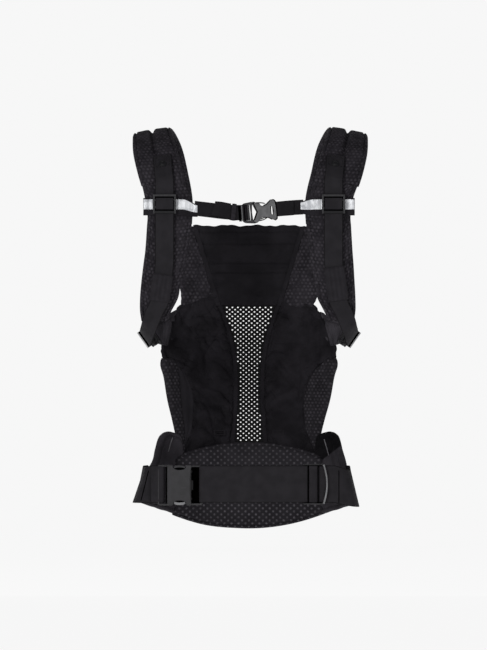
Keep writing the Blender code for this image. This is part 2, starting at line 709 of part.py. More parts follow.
def make_shoulder_straps():
    pad, web = pad_stations(), strap_web_stations()
    run = KEEPER_LOW - KEEPER_HIGH
    middle = KEEPER_HIGH.lerp(KEEPER_LOW, 0.50)
    angle = math.atan2(-run.z, run.x)
    for side, sign in SIDES:
        strip(f"shoulder_pad_{side}", on_side(pad, sign), PAD_THICK, SPACER)
        strip(f"shoulder_webbing_{side}", on_side(web, sign), WEB_THICK, WEBBING)
        place = Vector((sign * middle.x, middle.y, middle.z))
        band_loop(f"strap_keeper_{side}", place, KEEPER_LENGTH, STRAP_WEB, WEB_THICK,
                  turn=angle if sign > 0 else math.pi - angle)


# ---------------------------------------------------------------- chest strap
BAND_THICK, TAPE_THICK = 0.0012, 0.0003
BAND_Y = NEAR_Y - PAD_THICK / 2 - 0.0010
TAPE_Y = BAND_Y - BAND_THICK / 2 - 0.00035 - TAPE_THICK / 2
BAND_INNER, BAND_OUTER = 0.0740, 0.1430
CHEST_KEEPER_X = -0.0390
CHEST_WEB_Y = CHEST_MOUTH.y
CHEST_TAIL_Y = CHEST_WEB_Y - WEB_THICK - 2 * GAP


def chest_run(bar, sign):
    """A point of the straight line from a buckle's bar to a band's end, and its width there."""
    end = Vector((sign * (BAND_INNER - 0.0012), CHEST_WEB_Y, CHEST_Z))
    slope = (end.z - bar.z) / (end.x - bar.x)
    half = Vector((slope, 0, -1)).normalized() * CHEST_WEB / 2

    def at(x, y):
        return Vector((x, y, end.z + slope * (x - end.x))), half

    return end, at, math.atan(slope)


def make_chest_strap():
    to_socket, to_plug = bar_reach(CHEST_BUCKLE)
    inward = Vector((0, 1, 0))
    width = Vector((CHEST_PULL.z, 0, -CHEST_PULL.x)) * CHEST_WEB / 2
    bar = CHEST_MOUTH - CHEST_PULL * to_socket
    end, at, _ = chest_run(bar, 1)
    right = [at(end.x, CHEST_WEB_Y), at(0.052, CHEST_WEB_Y)]
    right += round_bar(bar, CHEST_PULL, inward, -width, 0.003)
    right += [at(0.052, CHEST_TAIL_Y), at(0.060, CHEST_TAIL_Y)]
    strip("chest_webbing_right", right, WEB_THICK, WEBBING)
    bar = CHEST_MOUTH + CHEST_PULL * to_plug
    end, at, turn = chest_run(bar, -1)
    left = [at(end.x, CHEST_WEB_Y), at(-0.018, CHEST_WEB_Y)]
    left += round_bar(bar, -CHEST_PULL, inward, -width, 0.003)
    left += [at(-0.018, CHEST_TAIL_Y), at(-0.058, CHEST_TAIL_Y)]
    strip("chest_webbing_left", left, WEB_THICK, WEBBING)
    place, _ = at(CHEST_KEEPER_X, (CHEST_WEB_Y + CHEST_TAIL_Y) / 2)
    band_loop("chest_keeper", place, 0.015, CHEST_WEB, TWO_LAYERS, turn=-turn)
    for side, sign in SIDES:
        middle = sign * (BAND_INNER + BAND_OUTER) / 2
        length = BAND_OUTER - BAND_INNER
        block(f"chest_band_{side}", (middle, BAND_Y, CHEST_Z), (length, BAND_THICK, 0.023),
              FABRIC)
        block(f"reflective_tape_{side}", (middle, TAPE_Y, CHEST_Z + 0.002),
              (length - 0.001, TAPE_THICK, 0.0115), TAPE)
        make_slider(side, sign)


def make_slider(side, sign):
    """Slides on the shoulder webbing: front bars above and below, one back bar between."""
    name = f"chest_slider_{side}"
    back, front, rail, bar = 0.0012, 0.0020, 0.0030, 0.0036
    slot = WEB_THICK + 2 * GAP
    depth, height = back + slot + front, 0.028
    width = STRAP_WEB + 2 * GAP + 2 * rail
    middle_y = WEB_Y + (back - front) / 2
    x = sign * STRAP_X
    body = block(name, (x, middle_y, CHEST_Z), (width, depth, height), PLASTIC, bevel=0.0006)
    open_x = STRAP_WEB + 2 * GAP
    channel = block(f"{name}_channel", (x, WEB_Y, CHEST_Z), (open_x, slot, height + 0.01))
    combine(body, channel, "DIFFERENCE")
    window = block(f"{name}_front", (x, WEB_Y - slot / 2 - front / 2, CHEST_Z),
                   (open_x, front * 2 + 0.0002, height - 2 * bar))
    combine(body, window, "DIFFERENCE")
    for k, edge in enumerate((-1, 1)):
        tall = height / 2 - 0.0045
        gap = block(f"{name}_back_{k}", (x, WEB_Y + slot / 2 + back / 2,
                    CHEST_Z + edge * (0.0045 + tall / 2 + 0.001)), (open_x, back * 2 + 0.0002, tall + 0.002))
        combine(body, gap, "DIFFERENCE")


make_panel()
make_waist_pad()
make_waist_wings()
make_waist_webbing()
make_waist_fittings()
make_buckles()
make_shoulder_straps()
make_chest_strap()
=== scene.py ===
"""Looks of the soft baby carrier: cloth, padding, webbing, buckles, light and camera.

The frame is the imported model's: metres, +Z up, the wearer's back towards -Y. Soft pieces
are surfaces over s (across) and t (along), both 0 to 1, made on the right side and
mirrored for the left.
"""

import math

import bmesh
import bpy
import numpy as np
from mathutils import Matrix, Vector, noise
from mathutils.bvhtree import BVHTree


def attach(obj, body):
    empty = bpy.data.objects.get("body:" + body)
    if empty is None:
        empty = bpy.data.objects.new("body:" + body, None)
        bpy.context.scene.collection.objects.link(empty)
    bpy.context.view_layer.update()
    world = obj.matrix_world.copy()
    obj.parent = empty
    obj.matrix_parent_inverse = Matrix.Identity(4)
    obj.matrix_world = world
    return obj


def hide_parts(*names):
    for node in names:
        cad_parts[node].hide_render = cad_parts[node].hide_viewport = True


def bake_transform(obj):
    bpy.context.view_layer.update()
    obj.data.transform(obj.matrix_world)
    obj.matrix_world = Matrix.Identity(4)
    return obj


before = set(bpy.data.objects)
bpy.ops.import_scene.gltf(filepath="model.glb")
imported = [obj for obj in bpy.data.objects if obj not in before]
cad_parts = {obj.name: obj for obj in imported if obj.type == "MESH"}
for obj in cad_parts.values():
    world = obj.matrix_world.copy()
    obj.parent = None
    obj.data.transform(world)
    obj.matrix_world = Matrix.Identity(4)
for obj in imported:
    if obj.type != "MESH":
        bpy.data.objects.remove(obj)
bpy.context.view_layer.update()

SIDES = (("left", -1), ("right", 1))


# ---------------------------------------------------------------- numbers
def vec(*v):
    return np.array(v, float)


def unit(v):
    v = np.asarray(v, float)
    return v / np.maximum(np.linalg.norm(v, axis=-1, keepdims=True), 1e-12)


def bell(x, width):
    return np.exp(-(np.asarray(x, float) / width) ** 2)


def ramp(x, a, b):
    """Smooth rise from 0 at a to 1 at b."""
    t = np.clip((np.asarray(x, float) - a) / (b - a), 0, 1)
    return t * t * (3 - 2 * t)


def eased(keys, values):
    """Smooth reading of values against keys, with no overshoot between two of them."""
    k = np.asarray(keys, float)
    v = np.asarray(values, float).reshape(len(k), -1)
    h = np.diff(k)[:, None]
    d = np.diff(v, axis=0) / h
    m = np.zeros_like(v)
    w1, w2 = 2 * h[1:] + h[:-1], h[1:] + 2 * h[:-1]
    with np.errstate(divide="ignore", invalid="ignore"):
        m[1:-1] = np.where(d[:-1] * d[1:] > 0, (w1 + w2) / (w1 / d[:-1] + w2 / d[1:]), 0.0)
    m[0], m[-1] = d[0], d[-1]

    def at(x):
        x = np.clip(np.asarray(x, float), k[0], k[-1])
        i = np.clip(np.searchsorted(k, x, side="right") - 1, 0, len(h) - 1)
        t = ((x - k[i]) / h[i, 0])[..., None]
        out = ((1 + 2 * t) * (1 - t) ** 2 * v[i] + t * (1 - t) ** 2 * h[i] * m[i]
               + t * t * (3 - 2 * t) * v[i + 1] + t * t * (t - 1) * h[i] * m[i + 1])
        return out[..., 0] if out.shape[-1] == 1 else out

    return at


def on_table(table):
    keys, values = zip(*table)
    return eased(keys, values)


def through(rows, steps=10):
    """Catmull-Rom rows through the given rows."""
    rows = np.asarray(rows, float)
    ends = np.vstack([rows[:1], rows, rows[-1:]])
    found = []
    for p, q, r, s in zip(ends, ends[1:], ends[2:], ends[3:]):
        for t in np.arange(steps) / steps:
            found.append(0.5 * (2 * q + (r - p) * t + (2 * p - 5 * q + 4 * r - s) * t * t
                                + (3 * q - p - 3 * r + s) * t ** 3))
    return np.vstack([found, rows[-1:]])


def travel(points):
    """Distance along a row of points."""
    return np.concatenate([[0], np.cumsum(np.linalg.norm(np.diff(points, axis=0), axis=1))])


def spread(count, length, rim):
    """Positions 0 to 1, even but for the rounded rims at both ends."""
    rim = min(rim, 0.3 * length)
    ends = rim * (1 - np.cos(np.linspace(0, np.pi / 2, 5))) / length
    inner = np.linspace(ends[-1], 1 - ends[-1], count)
    return np.concatenate([ends[:-1], inner, 1 - ends[-2::-1]])


def grid_normals(grid):
    return unit(np.cross(np.gradient(grid, axis=1), np.gradient(grid, axis=0)))


def rough(where, size, seed, octaves):
    """Smooth noise, about -1 to 1, at an array of points."""
    flat = np.asarray(where, float).reshape(-1, 3) / size
    shift = Vector((seed * 7.31, seed * 3.77, seed * 5.13))
    values = [noise.fractal(Vector(p) + shift, 1.0, 2.0, octaves) for p in flat]
    return np.array(values).reshape(np.asarray(where).shape[:-1])


# ---------------------------------------------------------------- materials
class Graph:
    """A material's nodes: sockets go in, sockets come out. Sizes are in millimetres."""

    def __init__(self, name, roughness, specular, metallic=0.0):
        self.material = bpy.data.materials.new(name)
        self.material.use_nodes = True
        self.tree = self.material.node_tree
        self.shader = self.tree.nodes["Principled BSDF"]
        self.shader.inputs["Roughness"].default_value = roughness
        self.shader.inputs["Specular IOR Level"].default_value = specular
        self.shader.inputs["Metallic"].default_value = metallic
        self.place = self.add("ShaderNodeTexCoord").outputs["Object"]

    def add(self, kind, **settings):
        node = self.tree.nodes.new(kind)
        for key, value in settings.items():
            setattr(node, key, value)
        return node

    def plug(self, socket, value):
        if isinstance(value, bpy.types.NodeSocket):
            self.tree.links.new(value, socket)
        else:
            socket.default_value = value

    def math(self, operation, *values):
        node = self.add("ShaderNodeMath", operation=operation)
        for socket, value in zip(node.inputs, values):
            self.plug(socket, value)
        return node.outputs[0]

    def total(self, *values):
        found = values[0]
        for value in values[1:]:
            found = self.math("ADD", found, value)
        return found

    def times(self, a, b):
        return self.math("MULTIPLY", a, b)

    def parts(self, vector, count):
        """A vector's first components, in millimetres."""
        node = self.add("ShaderNodeSeparateXYZ")
        self.plug(node.inputs[0], vector)
        return [self.times(node.outputs[k], 1000.0) for k in range(count)]

    def uv(self):
        """Distances across and along the piece."""
        return self.parts(self.add("ShaderNodeUVMap", uv_map="metric").outputs[0], 2)

    def axes(self):
        """The piece's own x, y and z."""
        return self.parts(self.place, 3)

    def noise(self, size, detail=2.0, stretch=(1, 1, 1)):
        where = self.add("ShaderNodeMapping")
        where.inputs["Scale"].default_value = [1000.0 / size / k for k in stretch]
        self.plug(where.inputs["Vector"], self.place)
        node = self.add("ShaderNodeTexNoise")
        node.inputs["Scale"].default_value = 1.0
        node.inputs["Detail"].default_value = detail
        self.plug(node.inputs["Vector"], where.outputs[0])
        return node.outputs["Fac"]

    def wave(self, along, pitch):
        """0 to 1 and back, once a pitch."""
        turn = self.times(along, 2 * math.pi / pitch)
        return self.math("MULTIPLY_ADD", self.math("SINE", turn), 0.5, 0.5)

    def knit(self, u, v, pitch):
        """A fine lattice that leans both ways."""
        return self.times(self.wave(self.total(u, v), pitch),
                          self.wave(self.math("SUBTRACT", u, v), pitch))

    def fit(self, value, low, high, to_low=0.0, to_high=1.0):
        node = self.add("ShaderNodeMapRange", interpolation_type="SMOOTHSTEP")
        self.plug(node.inputs["Value"], value)
        for key, number in (("From Min", low), ("From Max", high), ("To Min", to_low),
                            ("To Max", to_high)):
            node.inputs[key].default_value = number
        return node.outputs["Result"]

    def dots(self, u, v, pitch, rows, radius, soft):
        """1 in the dots of a staggered lattice, rows apart and a pitch apart along a row."""
        row = self.math("DIVIDE", v, rows)
        odd = self.times(self.math("MODULO", self.math("FLOOR", row), 2.0), 0.5)
        column = self.math("ADD", self.math("DIVIDE", u, pitch), odd)
        x = self.times(self.math("SUBTRACT", self.math("FRACT", column), 0.5), pitch)
        y = self.times(self.math("SUBTRACT", self.math("FRACT", row), 0.5), rows)
        away = self.math("SQRT", self.math("ADD", self.times(x, x), self.times(y, y)))
        return self.fit(away, radius - soft, radius + soft, 1.0, 0.0)

    def blend(self, factor, dark, light):
        node = self.add("ShaderNodeMix", data_type="RGBA", clamp_factor=True)
        self.plug(node.inputs["Factor"], factor)
        self.plug(node.inputs["A"], (*dark, 1.0) if isinstance(dark, tuple) else dark)
        self.plug(node.inputs["B"], (*light, 1.0) if isinstance(light, tuple) else light)
        return node.outputs["Result"]

    def finish(self, colour, height=None, depth=0.2, roughness=None):
        self.plug(self.shader.inputs["Base Color"], colour)
        if height is not None:
            bump = self.add("ShaderNodeBump")
            bump.inputs["Strength"].default_value = 1.0
            bump.inputs["Distance"].default_value = depth / 1000
            self.plug(bump.inputs["Height"], height)
            self.plug(self.shader.inputs["Normal"], bump.outputs[0])
        if roughness is not None:
            self.plug(self.shader.inputs["Roughness"], roughness)
        return self.material


def woven(name, dark, light, thread=0.5):
    """Smooth plain-weave cloth with a soft lustre."""
    g = Graph(name, 0.85, 0.06)
    u, v = g.uv()
    weave = g.times(g.wave(u, thread * 2), g.wave(v, thread * 2))
    cloudy = g.noise(28, 3)
    slub = g.noise(1.1, 2, (6, 1, 1))
    mix = g.total(g.fit(cloudy, 0.3, 0.7, 0.0, 0.45), g.times(weave, 0.35),
                  g.times(slub, 0.25))
    height = g.total(weave, g.times(slub, 0.5))
    return g.finish(g.blend(mix, dark, light), height, 0.12,
                    g.fit(cloudy, 0.3, 0.7, 0.80, 0.92))


def lobed(name, low, lobe):
    """Hip padding: a dark rounded cap above, paler cloth under a slanting edge."""
    g = Graph(name, 0.88, 0.05)
    u, v = g.uv()
    weave = g.times(g.wave(u, 0.9), g.wave(v, 0.9))
    cloudy = g.fit(g.noise(16, 3), 0.3, 0.7, 0.0, 0.7)
    mix = g.total(cloudy, g.times(weave, 0.3))
    x, _, level = g.axes()
    edge = g.math("MULTIPLY_ADD", x, 0.8, -48.4)
    cap = g.fit(g.math("SUBTRACT", level, edge), -0.8, 0.8)
    colour = g.blend(cap, g.blend(mix, *low), g.blend(mix, *lobe))
    return g.finish(colour, weave, 0.12)


def dimpled(name, dark, light, dot, pitch, rows, radius, depth=0.5):
    """Spacer mesh: a knitted face with a staggered lattice of dimples."""
    g = Graph(name, 0.9, 0.05)
    u, v = g.uv()
    holes = g.dots(u, v, pitch, rows, radius, 0.35 * radius)
    knit = g.knit(u, v, 0.9)
    cloudy = g.noise(22, 2)
    uneven = g.noise(4.5, 1)
    ground = g.blend(g.total(g.times(knit, 0.5), g.fit(cloudy, 0.3, 0.7, 0, 0.4)),
                     dark, light)
    _, _, level = g.axes()
    # Painted shade: above 22 mm up, the dots lose over a third of their strength, dimming the piece's
    # shaded upper part.
    calm = g.fit(level, 22.0, 30.0, 1.0, 0.62)
    strength = g.times(g.times(holes, calm), g.fit(uneven, 0.25, 0.75, 0.45, 1.0))
    height = g.total(g.times(knit, 0.25), g.times(holes, -1.0))
    return g.finish(g.blend(strength, ground, dot), height, depth)


def strap_weave(name, dark, light, half, pitch=1.5):
    """Webbing of the given half-width: a herringbone along it, and painted shade that darkens both edges.
    """
    g = Graph(name, 0.7, 0.10)
    u, v = g.uv()
    lean = g.math("PINGPONG", u, 2.5)
    twill = g.wave(g.math("MULTIPLY_ADD", lean, 0.9, v), pitch)
    yarn = g.wave(u, 0.8)
    cloudy = g.noise(14, 3)
    mix = g.total(g.times(twill, 0.3), g.times(yarn, 0.15),
                  g.fit(cloudy, 0.3, 0.7, 0.0, 0.55))
    height = g.total(g.times(twill, 0.8), g.times(yarn, 0.3))
    # Painted shade: the colour falls to near black over the last millimetre of each edge, where shade
    # falls between the webbing and what lies under it.
    edge = g.fit(g.math("ABSOLUTE", u), half - 1.3, half - 0.5, 0.0, 0.85)
    body = g.blend(mix, dark, light)
    return g.finish(g.blend(edge, body, (0.0015, 0.0014, 0.0016)), height, 0.18)


def moulded(name, dark, light, roughness, specular=0.4):
    """Satin acetal with a fine spark texture and a few rubbed places."""
    g = Graph(name, roughness, specular)
    grain = g.noise(0.35, 2)
    cloudy = g.noise(9, 3)
    rubbed = g.fit(g.noise(2.4, 4, (5, 1, 1)), 0.62, 0.75)
    mix = g.total(g.fit(cloudy, 0.3, 0.7, 0.0, 0.6), g.times(rubbed, 0.4))
    shine = g.total(g.fit(cloudy, 0.3, 0.7, roughness - 0.06, roughness + 0.06),
                    g.times(grain, 0.08))
    return g.finish(g.blend(mix, dark, light), grain, 0.03, shine)


def silver_tape(name):
    """Glass-bead reflective tape, creased across."""
    g = Graph(name, 0.38, 0.5, metallic=0.30)
    u, v = g.uv()
    beads = g.noise(0.5, 1)
    lattice = g.math("MAXIMUM", g.wave(g.total(u, v), 1.7), g.wave(g.math("SUBTRACT", u, v), 1.7))
    crease = g.noise(3.6, 2, (1, 1, 9))
    worn = g.fit(g.noise(7, 4), 0.35, 0.62)
    # The worn patches vary the tone at random; the crease term is painted shade and highlight, darker in
    # the crease hollows and lighter on their ridges.
    tone = g.total(g.times(worn, 0.55), g.times(crease, 0.5))
    height = g.total(g.times(lattice, 0.2), g.times(crease, 3.0),
                     g.times(beads, 0.3))
    return g.finish(g.blend(tone, (0.30, 0.31, 0.33), (0.72, 0.73, 0.75)), height, 0.35,
                    g.fit(beads, 0.2, 0.8, 0.3, 0.5))


def elastic_knit(name, dark, light):
    """Ribbed elastic."""
    g = Graph(name, 0.85, 0.06)
    u, v = g.uv()
    rib = g.wave(u, 1.3)
    cross = g.wave(v, 0.7)
    mix = g.total(g.times(rib, 0.25), g.times(cross, 0.25),
                  g.fit(g.noise(9, 2), 0.3, 0.7, 0, 0.3))
    return g.finish(g.blend(mix, dark, light), g.total(rib, g.times(cross, 0.4)), 0.12)


def thread_finish(name, dark, light):
    g = Graph(name, 0.7, 0.12)
    return g.finish(g.blend(g.noise(3, 2), dark, light), g.noise(0.4, 2), 0.05)


def bumped(name, dark, light, top, pitch, rows, radius, depth=0.6):
    """Padded spacer mesh: a staggered lattice of soft raised spots on a knitted ground."""
    g = Graph(name, 0.9, 0.05)
    u, v = g.uv()
    spots = g.dots(u, v, pitch, rows, radius, 0.85 * radius)
    knit = g.knit(u, v, 0.9)
    cloudy = g.noise(18, 3)
    uneven = g.noise(7, 2)
    ground = g.blend(g.total(g.times(knit, 0.3), g.fit(cloudy, 0.32, 0.68, 0, 0.7)),
                     dark, light)
    strength = g.times(spots, g.fit(uneven, 0.32, 0.68, 0.15, 1.0))
    height = g.total(g.times(knit, 0.2), spots)
    return g.finish(g.blend(strength, ground, top), height, depth)


MESH_LEG = bumped("spacer_mesh_leg", (0.0110, 0.0102, 0.0118), (0.0190, 0.0175, 0.0205),
                  (0.0520, 0.0480, 0.0550), 4.8, 4.4, 1.35)
WEB_WIDE = strap_weave("webbing_50", (0.0115, 0.0106, 0.0124), (0.0200, 0.0184, 0.0214), 25.0)
WEB_SLIM = strap_weave("webbing_20", (0.0050, 0.0046, 0.0056), (0.0110, 0.0101, 0.0120), 10.0)
# Painted highlight: a much paler copy of the satin acetal, for the lit curved bar of the tri-glide and
# the lower release arm's rim.
ACETAL_HIGHLIGHT = moulded("acetal_painted_highlight", (0.120, 0.120, 0.125), (0.210, 0.210, 0.217), 0.38)
# Painted highlight: a pale copy of the acetal, laid as a strip along the side plugs' lit edge.
ACETAL_EDGE_HIGHLIGHT = moulded("acetal_painted_edge_highlight", (0.30, 0.30, 0.31), (0.52, 0.52, 0.53), 0.38)
CHEST_GREY = moulded("acetal_mid_grey", (0.065, 0.065, 0.068), (0.135, 0.135, 0.140), 0.38)
# Painted shadow: near-black plastic laid where there is only shade, in slots, gaps, recesses and along
# fold lines.
SHADOW = moulded("painted_recess_shadow", (0.0003, 0.0003, 0.0003), (0.0010, 0.0010, 0.0010), 0.95, 0.0)
TAB = woven("tab_cloth", (0.0090, 0.0082, 0.0098), (0.0180, 0.0166, 0.0194), 0.5)
CLOTH = woven("smooth_cloth", (0.0072, 0.0066, 0.0080), (0.0210, 0.0194, 0.0228))
LINING = woven("lining_cloth", (0.0110, 0.0102, 0.0118), (0.0240, 0.0220, 0.0262), 0.4)
MESH = dimpled("spacer_mesh_coarse", (0.0165, 0.0152, 0.0178), (0.0300, 0.0278, 0.0322),
               (0.092, 0.087, 0.097), 9.8, 4.1, 1.50)
FINE = bumped("spacer_mesh_fine", (0.0120, 0.0110, 0.0132), (0.0250, 0.0226, 0.0270),
              (0.0500, 0.0455, 0.0530), 5.4, 4.8, 1.65)
WEB = strap_weave("webbing_25", (0.0112, 0.0104, 0.0122), (0.0190, 0.0175, 0.0205), 12.5)
ACETAL = moulded("acetal_satin", (0.012, 0.0115, 0.013), (0.024, 0.023, 0.026), 0.42, 0.35)
# A darker copy of the acetal: the snap's own colour and hidden bars, and painted shade on the slider's
# low bar, the buckle tongues, the waist release arms and the chest buckle's outline.
ACETAL_DARK_AND_SHADE = moulded("acetal_dark_and_painted_shade", (0.006, 0.006, 0.007), (0.013, 0.013, 0.014), 0.45, 0.15)
TAPE = silver_tape("reflective_silver")
ELASTIC = elastic_knit("elastic_rib", (0.0130, 0.0120, 0.0140), (0.0260, 0.0240, 0.0280))
NET = thread_finish("net_cord", (0.0015, 0.0014, 0.0016), (0.0060, 0.0056, 0.0064))
THREAD = thread_finish("sewing_thread", (0.0030, 0.0028, 0.0034), (0.0080, 0.0075, 0.0088))
PIPE_LIGHT = woven("piping_edge", (0.060, 0.058, 0.064), (0.170, 0.165, 0.175), 0.4)
SEAT = woven("seat_cloth", (0.0040, 0.0036, 0.0044), (0.0230, 0.0210, 0.0250))
GATHER = woven("gathered_cloth", (0.0120, 0.0110, 0.0130), (0.0700, 0.0650, 0.0750), 0.4)
HIP = lobed("hip_cloth", ((0.0230, 0.0212, 0.0245), (0.0420, 0.0390, 0.0450)),
            ((0.0030, 0.0028, 0.0034), (0.0100, 0.0094, 0.0108)))
HIP_LEFT = woven("hip_lining", (0.0160, 0.0146, 0.0172), (0.0480, 0.0440, 0.0510), 0.4)
PIPING = woven("piping_cloth", (0.0090, 0.0082, 0.0098), (0.0240, 0.0220, 0.0260), 0.4)


# ---------------------------------------------------------------- meshes
def shown(name, data):
    """An object of that data, in the scene."""
    obj = bpy.data.objects.new(name, data)
    bpy.context.scene.collection.objects.link(obj)
    return obj


def smoothed(mesh):
    """Shades every face of the mesh smoothly."""
    mesh.polygons.foreach_set("use_smooth", np.full(len(mesh.polygons), True))


def mesh_object(name, points, faces, finish, sign=1, uv=None):
    points = np.asarray(points, float).reshape(-1, 3)
    faces = np.asarray(faces)
    if sign < 0:
        points = points * (-1, 1, 1)
        faces = faces[:, ::-1]
    mesh = bpy.data.meshes.new(name)
    mesh.from_pydata(points.tolist(), [], faces.tolist())
    if uv is not None:
        corners = np.zeros(len(mesh.loops), np.int64)
        mesh.loops.foreach_get("vertex_index", corners)
        layer = mesh.uv_layers.new(name="metric")
        layer.data.foreach_set("uv", uv[corners].astype(np.float32).ravel())
    smoothed(mesh)
    mesh.materials.append(finish)
    return shown(name, mesh)


def settle(obj, body, *nodes, slot=None, fill=None):
    """The piece moves with the body and stands for the nodes; fill is not used."""
    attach(obj, body)
    if nodes:
        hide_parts(*nodes)
    return obj


def quads(rows, columns, first=0):
    i = np.arange(rows - 1)[:, None] * columns + np.arange(columns - 1)[None, :] + first
    return np.stack([i, i + 1, i + columns + 1, i + columns], -1).reshape(-1, 4)


def pairs(count):
    """Neighbours round a ring of points."""
    return [(k, (k + 1) % count) for k in range(count)]


def ring_faces(rows, count):
    """Faces between neighbouring rings of points."""
    return [(r * count + k, r * count + m, (r + 1) * count + m, (r + 1) * count + k)
            for r in range(rows - 1) for k, m in pairs(count)]


def rim_loop(rows, columns):
    """Indices round a grid's edge, in order."""
    index = np.arange(rows * columns).reshape(rows, columns)
    return np.concatenate([index[0, :-1], index[:-1, -1], index[-1, :0:-1], index[:0:-1, 0]])


class Soft:
    """A soft piece's two faces over s and t, for laying seams and stitches on."""

    def __init__(self, s, t, front, back, normal):
        self.s, self.t = s, t
        self.front, self.back, self.normal = front, back, normal

    def at(self, s, t, lift=0.0, face="front"):
        s, t = np.broadcast_arrays(np.asarray(s, float), np.asarray(t, float))
        c = np.interp(s, self.s, np.arange(len(self.s)))
        r = np.interp(t, self.t, np.arange(len(self.t)))
        c0 = np.clip(c.astype(int), 0, len(self.s) - 2)
        r0 = np.clip(r.astype(int), 0, len(self.t) - 2)
        fc, fr = (c - c0)[..., None], (r - r0)[..., None]

        def read(grid):
            return ((grid[r0, c0] * (1 - fc) + grid[r0, c0 + 1] * fc) * (1 - fr)
                    + (grid[r0 + 1, c0] * (1 - fc) + grid[r0 + 1, c0 + 1] * fc) * fr)

        way = unit(read(self.normal)) * (1 if face == "front" else -1)
        return read(self.front if face == "front" else self.back) + way * lift, way


def shell(name, places, grid, normal, height, uv, finish, sign=1):
    """A closed piece whose two faces lie a height either side of a grid of points."""
    front, back = (grid + normal * (way * height)[..., None] for way in (1, -1))
    rows, columns = height.shape
    size = rows * columns
    loop = rim_loop(rows, columns)
    after = np.roll(loop, -1)
    faces = np.vstack([quads(rows, columns), quads(rows, columns, size)[:, ::-1],
                       np.stack([after, loop, loop + size, after + size], -1)])
    points = np.concatenate([front.reshape(-1, 3), back.reshape(-1, 3)])
    obj = mesh_object(name, points, faces, finish, sign, np.concatenate([uv.reshape(-1, 2)] * 2))
    mirror = (sign, 1, 1)
    return obj, Soft(*places, front * mirror, back * mirror, normal * mirror)


def pillow(name, surface, thick, finish, sign=1, counts=(40, 40), rim=0.004, offset=None,
           puff=None, ruffle=None, flat=False, edge=0.0004):
    """A soft piece: a surface thickened both ways, with its edges rounded off. A flat one has
    its weave laid out over x and z, and any other along its own surface."""
    probe = surface(*np.meshgrid(np.linspace(0, 1, 7), np.linspace(0, 1, 7)))
    width = np.linalg.norm(np.diff(probe, axis=1), axis=-1).sum(1).mean()
    length = np.linalg.norm(np.diff(probe, axis=0), axis=-1).sum(0).mean()
    s, t = spread(counts[0], width, rim), spread(counts[1], length, rim)
    across, along = np.meshgrid(s, t)
    grid = surface(across, along)
    if offset is not None:
        grid = grid + offset(across, along)
    normal = grid_normals(grid)
    u = np.cumsum(np.linalg.norm(np.diff(grid, axis=1, prepend=grid[:, :1]), axis=-1), axis=1)
    v = np.cumsum(np.linalg.norm(np.diff(grid, axis=0, prepend=grid[:1]), axis=-1), axis=0)
    du = np.minimum(u, u[:, -1:] - u)
    dv = np.minimum(v, v[-1:] - v)
    near = [np.sqrt(1 - (1 - np.clip(d / rim, 0, 1)) ** 2) for d in (du, dv)]
    height = thick * near[0] * near[1]
    if puff is not None:
        height = height * puff(across, along)
    if ruffle is not None:
        grid = grid + normal * (ruffle(across, along) * near[0] * near[1])[..., None]
    if flat:
        uv = np.stack([grid[..., 0], grid[..., 2]], -1)
    else:
        middle = u.shape[1] // 2
        uv = np.stack([u - u[:, middle:middle + 1], v], -1)
    return shell(name, (s, t), grid, normal, height * 0.5 + edge, uv, finish, sign)


def crumple(surface, counts, grow, seed, cap=0.004, frames=14, bend=0.5, start=0.0006):
    """How cloth a little too big for its sewn edges buckles: offsets over s and t."""
    s, t = np.linspace(0, 1, counts[0]), np.linspace(0, 1, counts[1])
    across, along = np.meshgrid(s, t)
    rest = surface(across, along)
    inside = np.clip(np.minimum(np.minimum(across, 1 - across), np.minimum(along, 1 - along)) * 8,
                     0, 1)
    nudge = rough(rest, 0.018, seed, 2) * inside * start
    points = rest + grid_normals(rest) * nudge[..., None]
    obj = mesh_object("cloth_work", points, quads(*across.shape), CLOTH)
    pins = obj.vertex_groups.new(name="pins")
    pins.add([int(i) for i in rim_loop(*across.shape)], 1.0, "REPLACE")
    cloth = obj.modifiers.new("cloth", "CLOTH")
    cloth.settings.quality = 6
    cloth.settings.mass = 0.1
    cloth.settings.tension_stiffness = 20
    cloth.settings.compression_stiffness = 20
    cloth.settings.shear_stiffness = 8
    cloth.settings.bending_stiffness = bend
    cloth.settings.air_damping = 2.0
    cloth.settings.shrink_min = -grow
    cloth.settings.effector_weights.gravity = 0.0
    cloth.settings.vertex_group_mass = "pins"
    cloth.collision_settings.use_collision = False
    cloth.collision_settings.use_self_collision = False
    cloth.point_cache.frame_start = 1
    cloth.point_cache.frame_end = frames
    for number in range(1, frames + 1):
        bpy.context.scene.frame_set(number)
    made = obj.evaluated_get(bpy.context.evaluated_depsgraph_get())
    found = np.zeros(len(made.data.vertices) * 3)
    made.data.vertices.foreach_get("co", found)
    moved = found.reshape(rest.shape) - rest
    far = np.linalg.norm(moved, axis=-1, keepdims=True)
    moved = moved * np.minimum(1, cap * np.tanh(far / cap) / np.maximum(far, 1e-9))
    bpy.data.objects.remove(obj)
    bpy.context.scene.frame_set(1)
    held = Soft(s, t, moved, moved, np.ones_like(moved))
    return lambda a, b: held.at(a, b)[0]


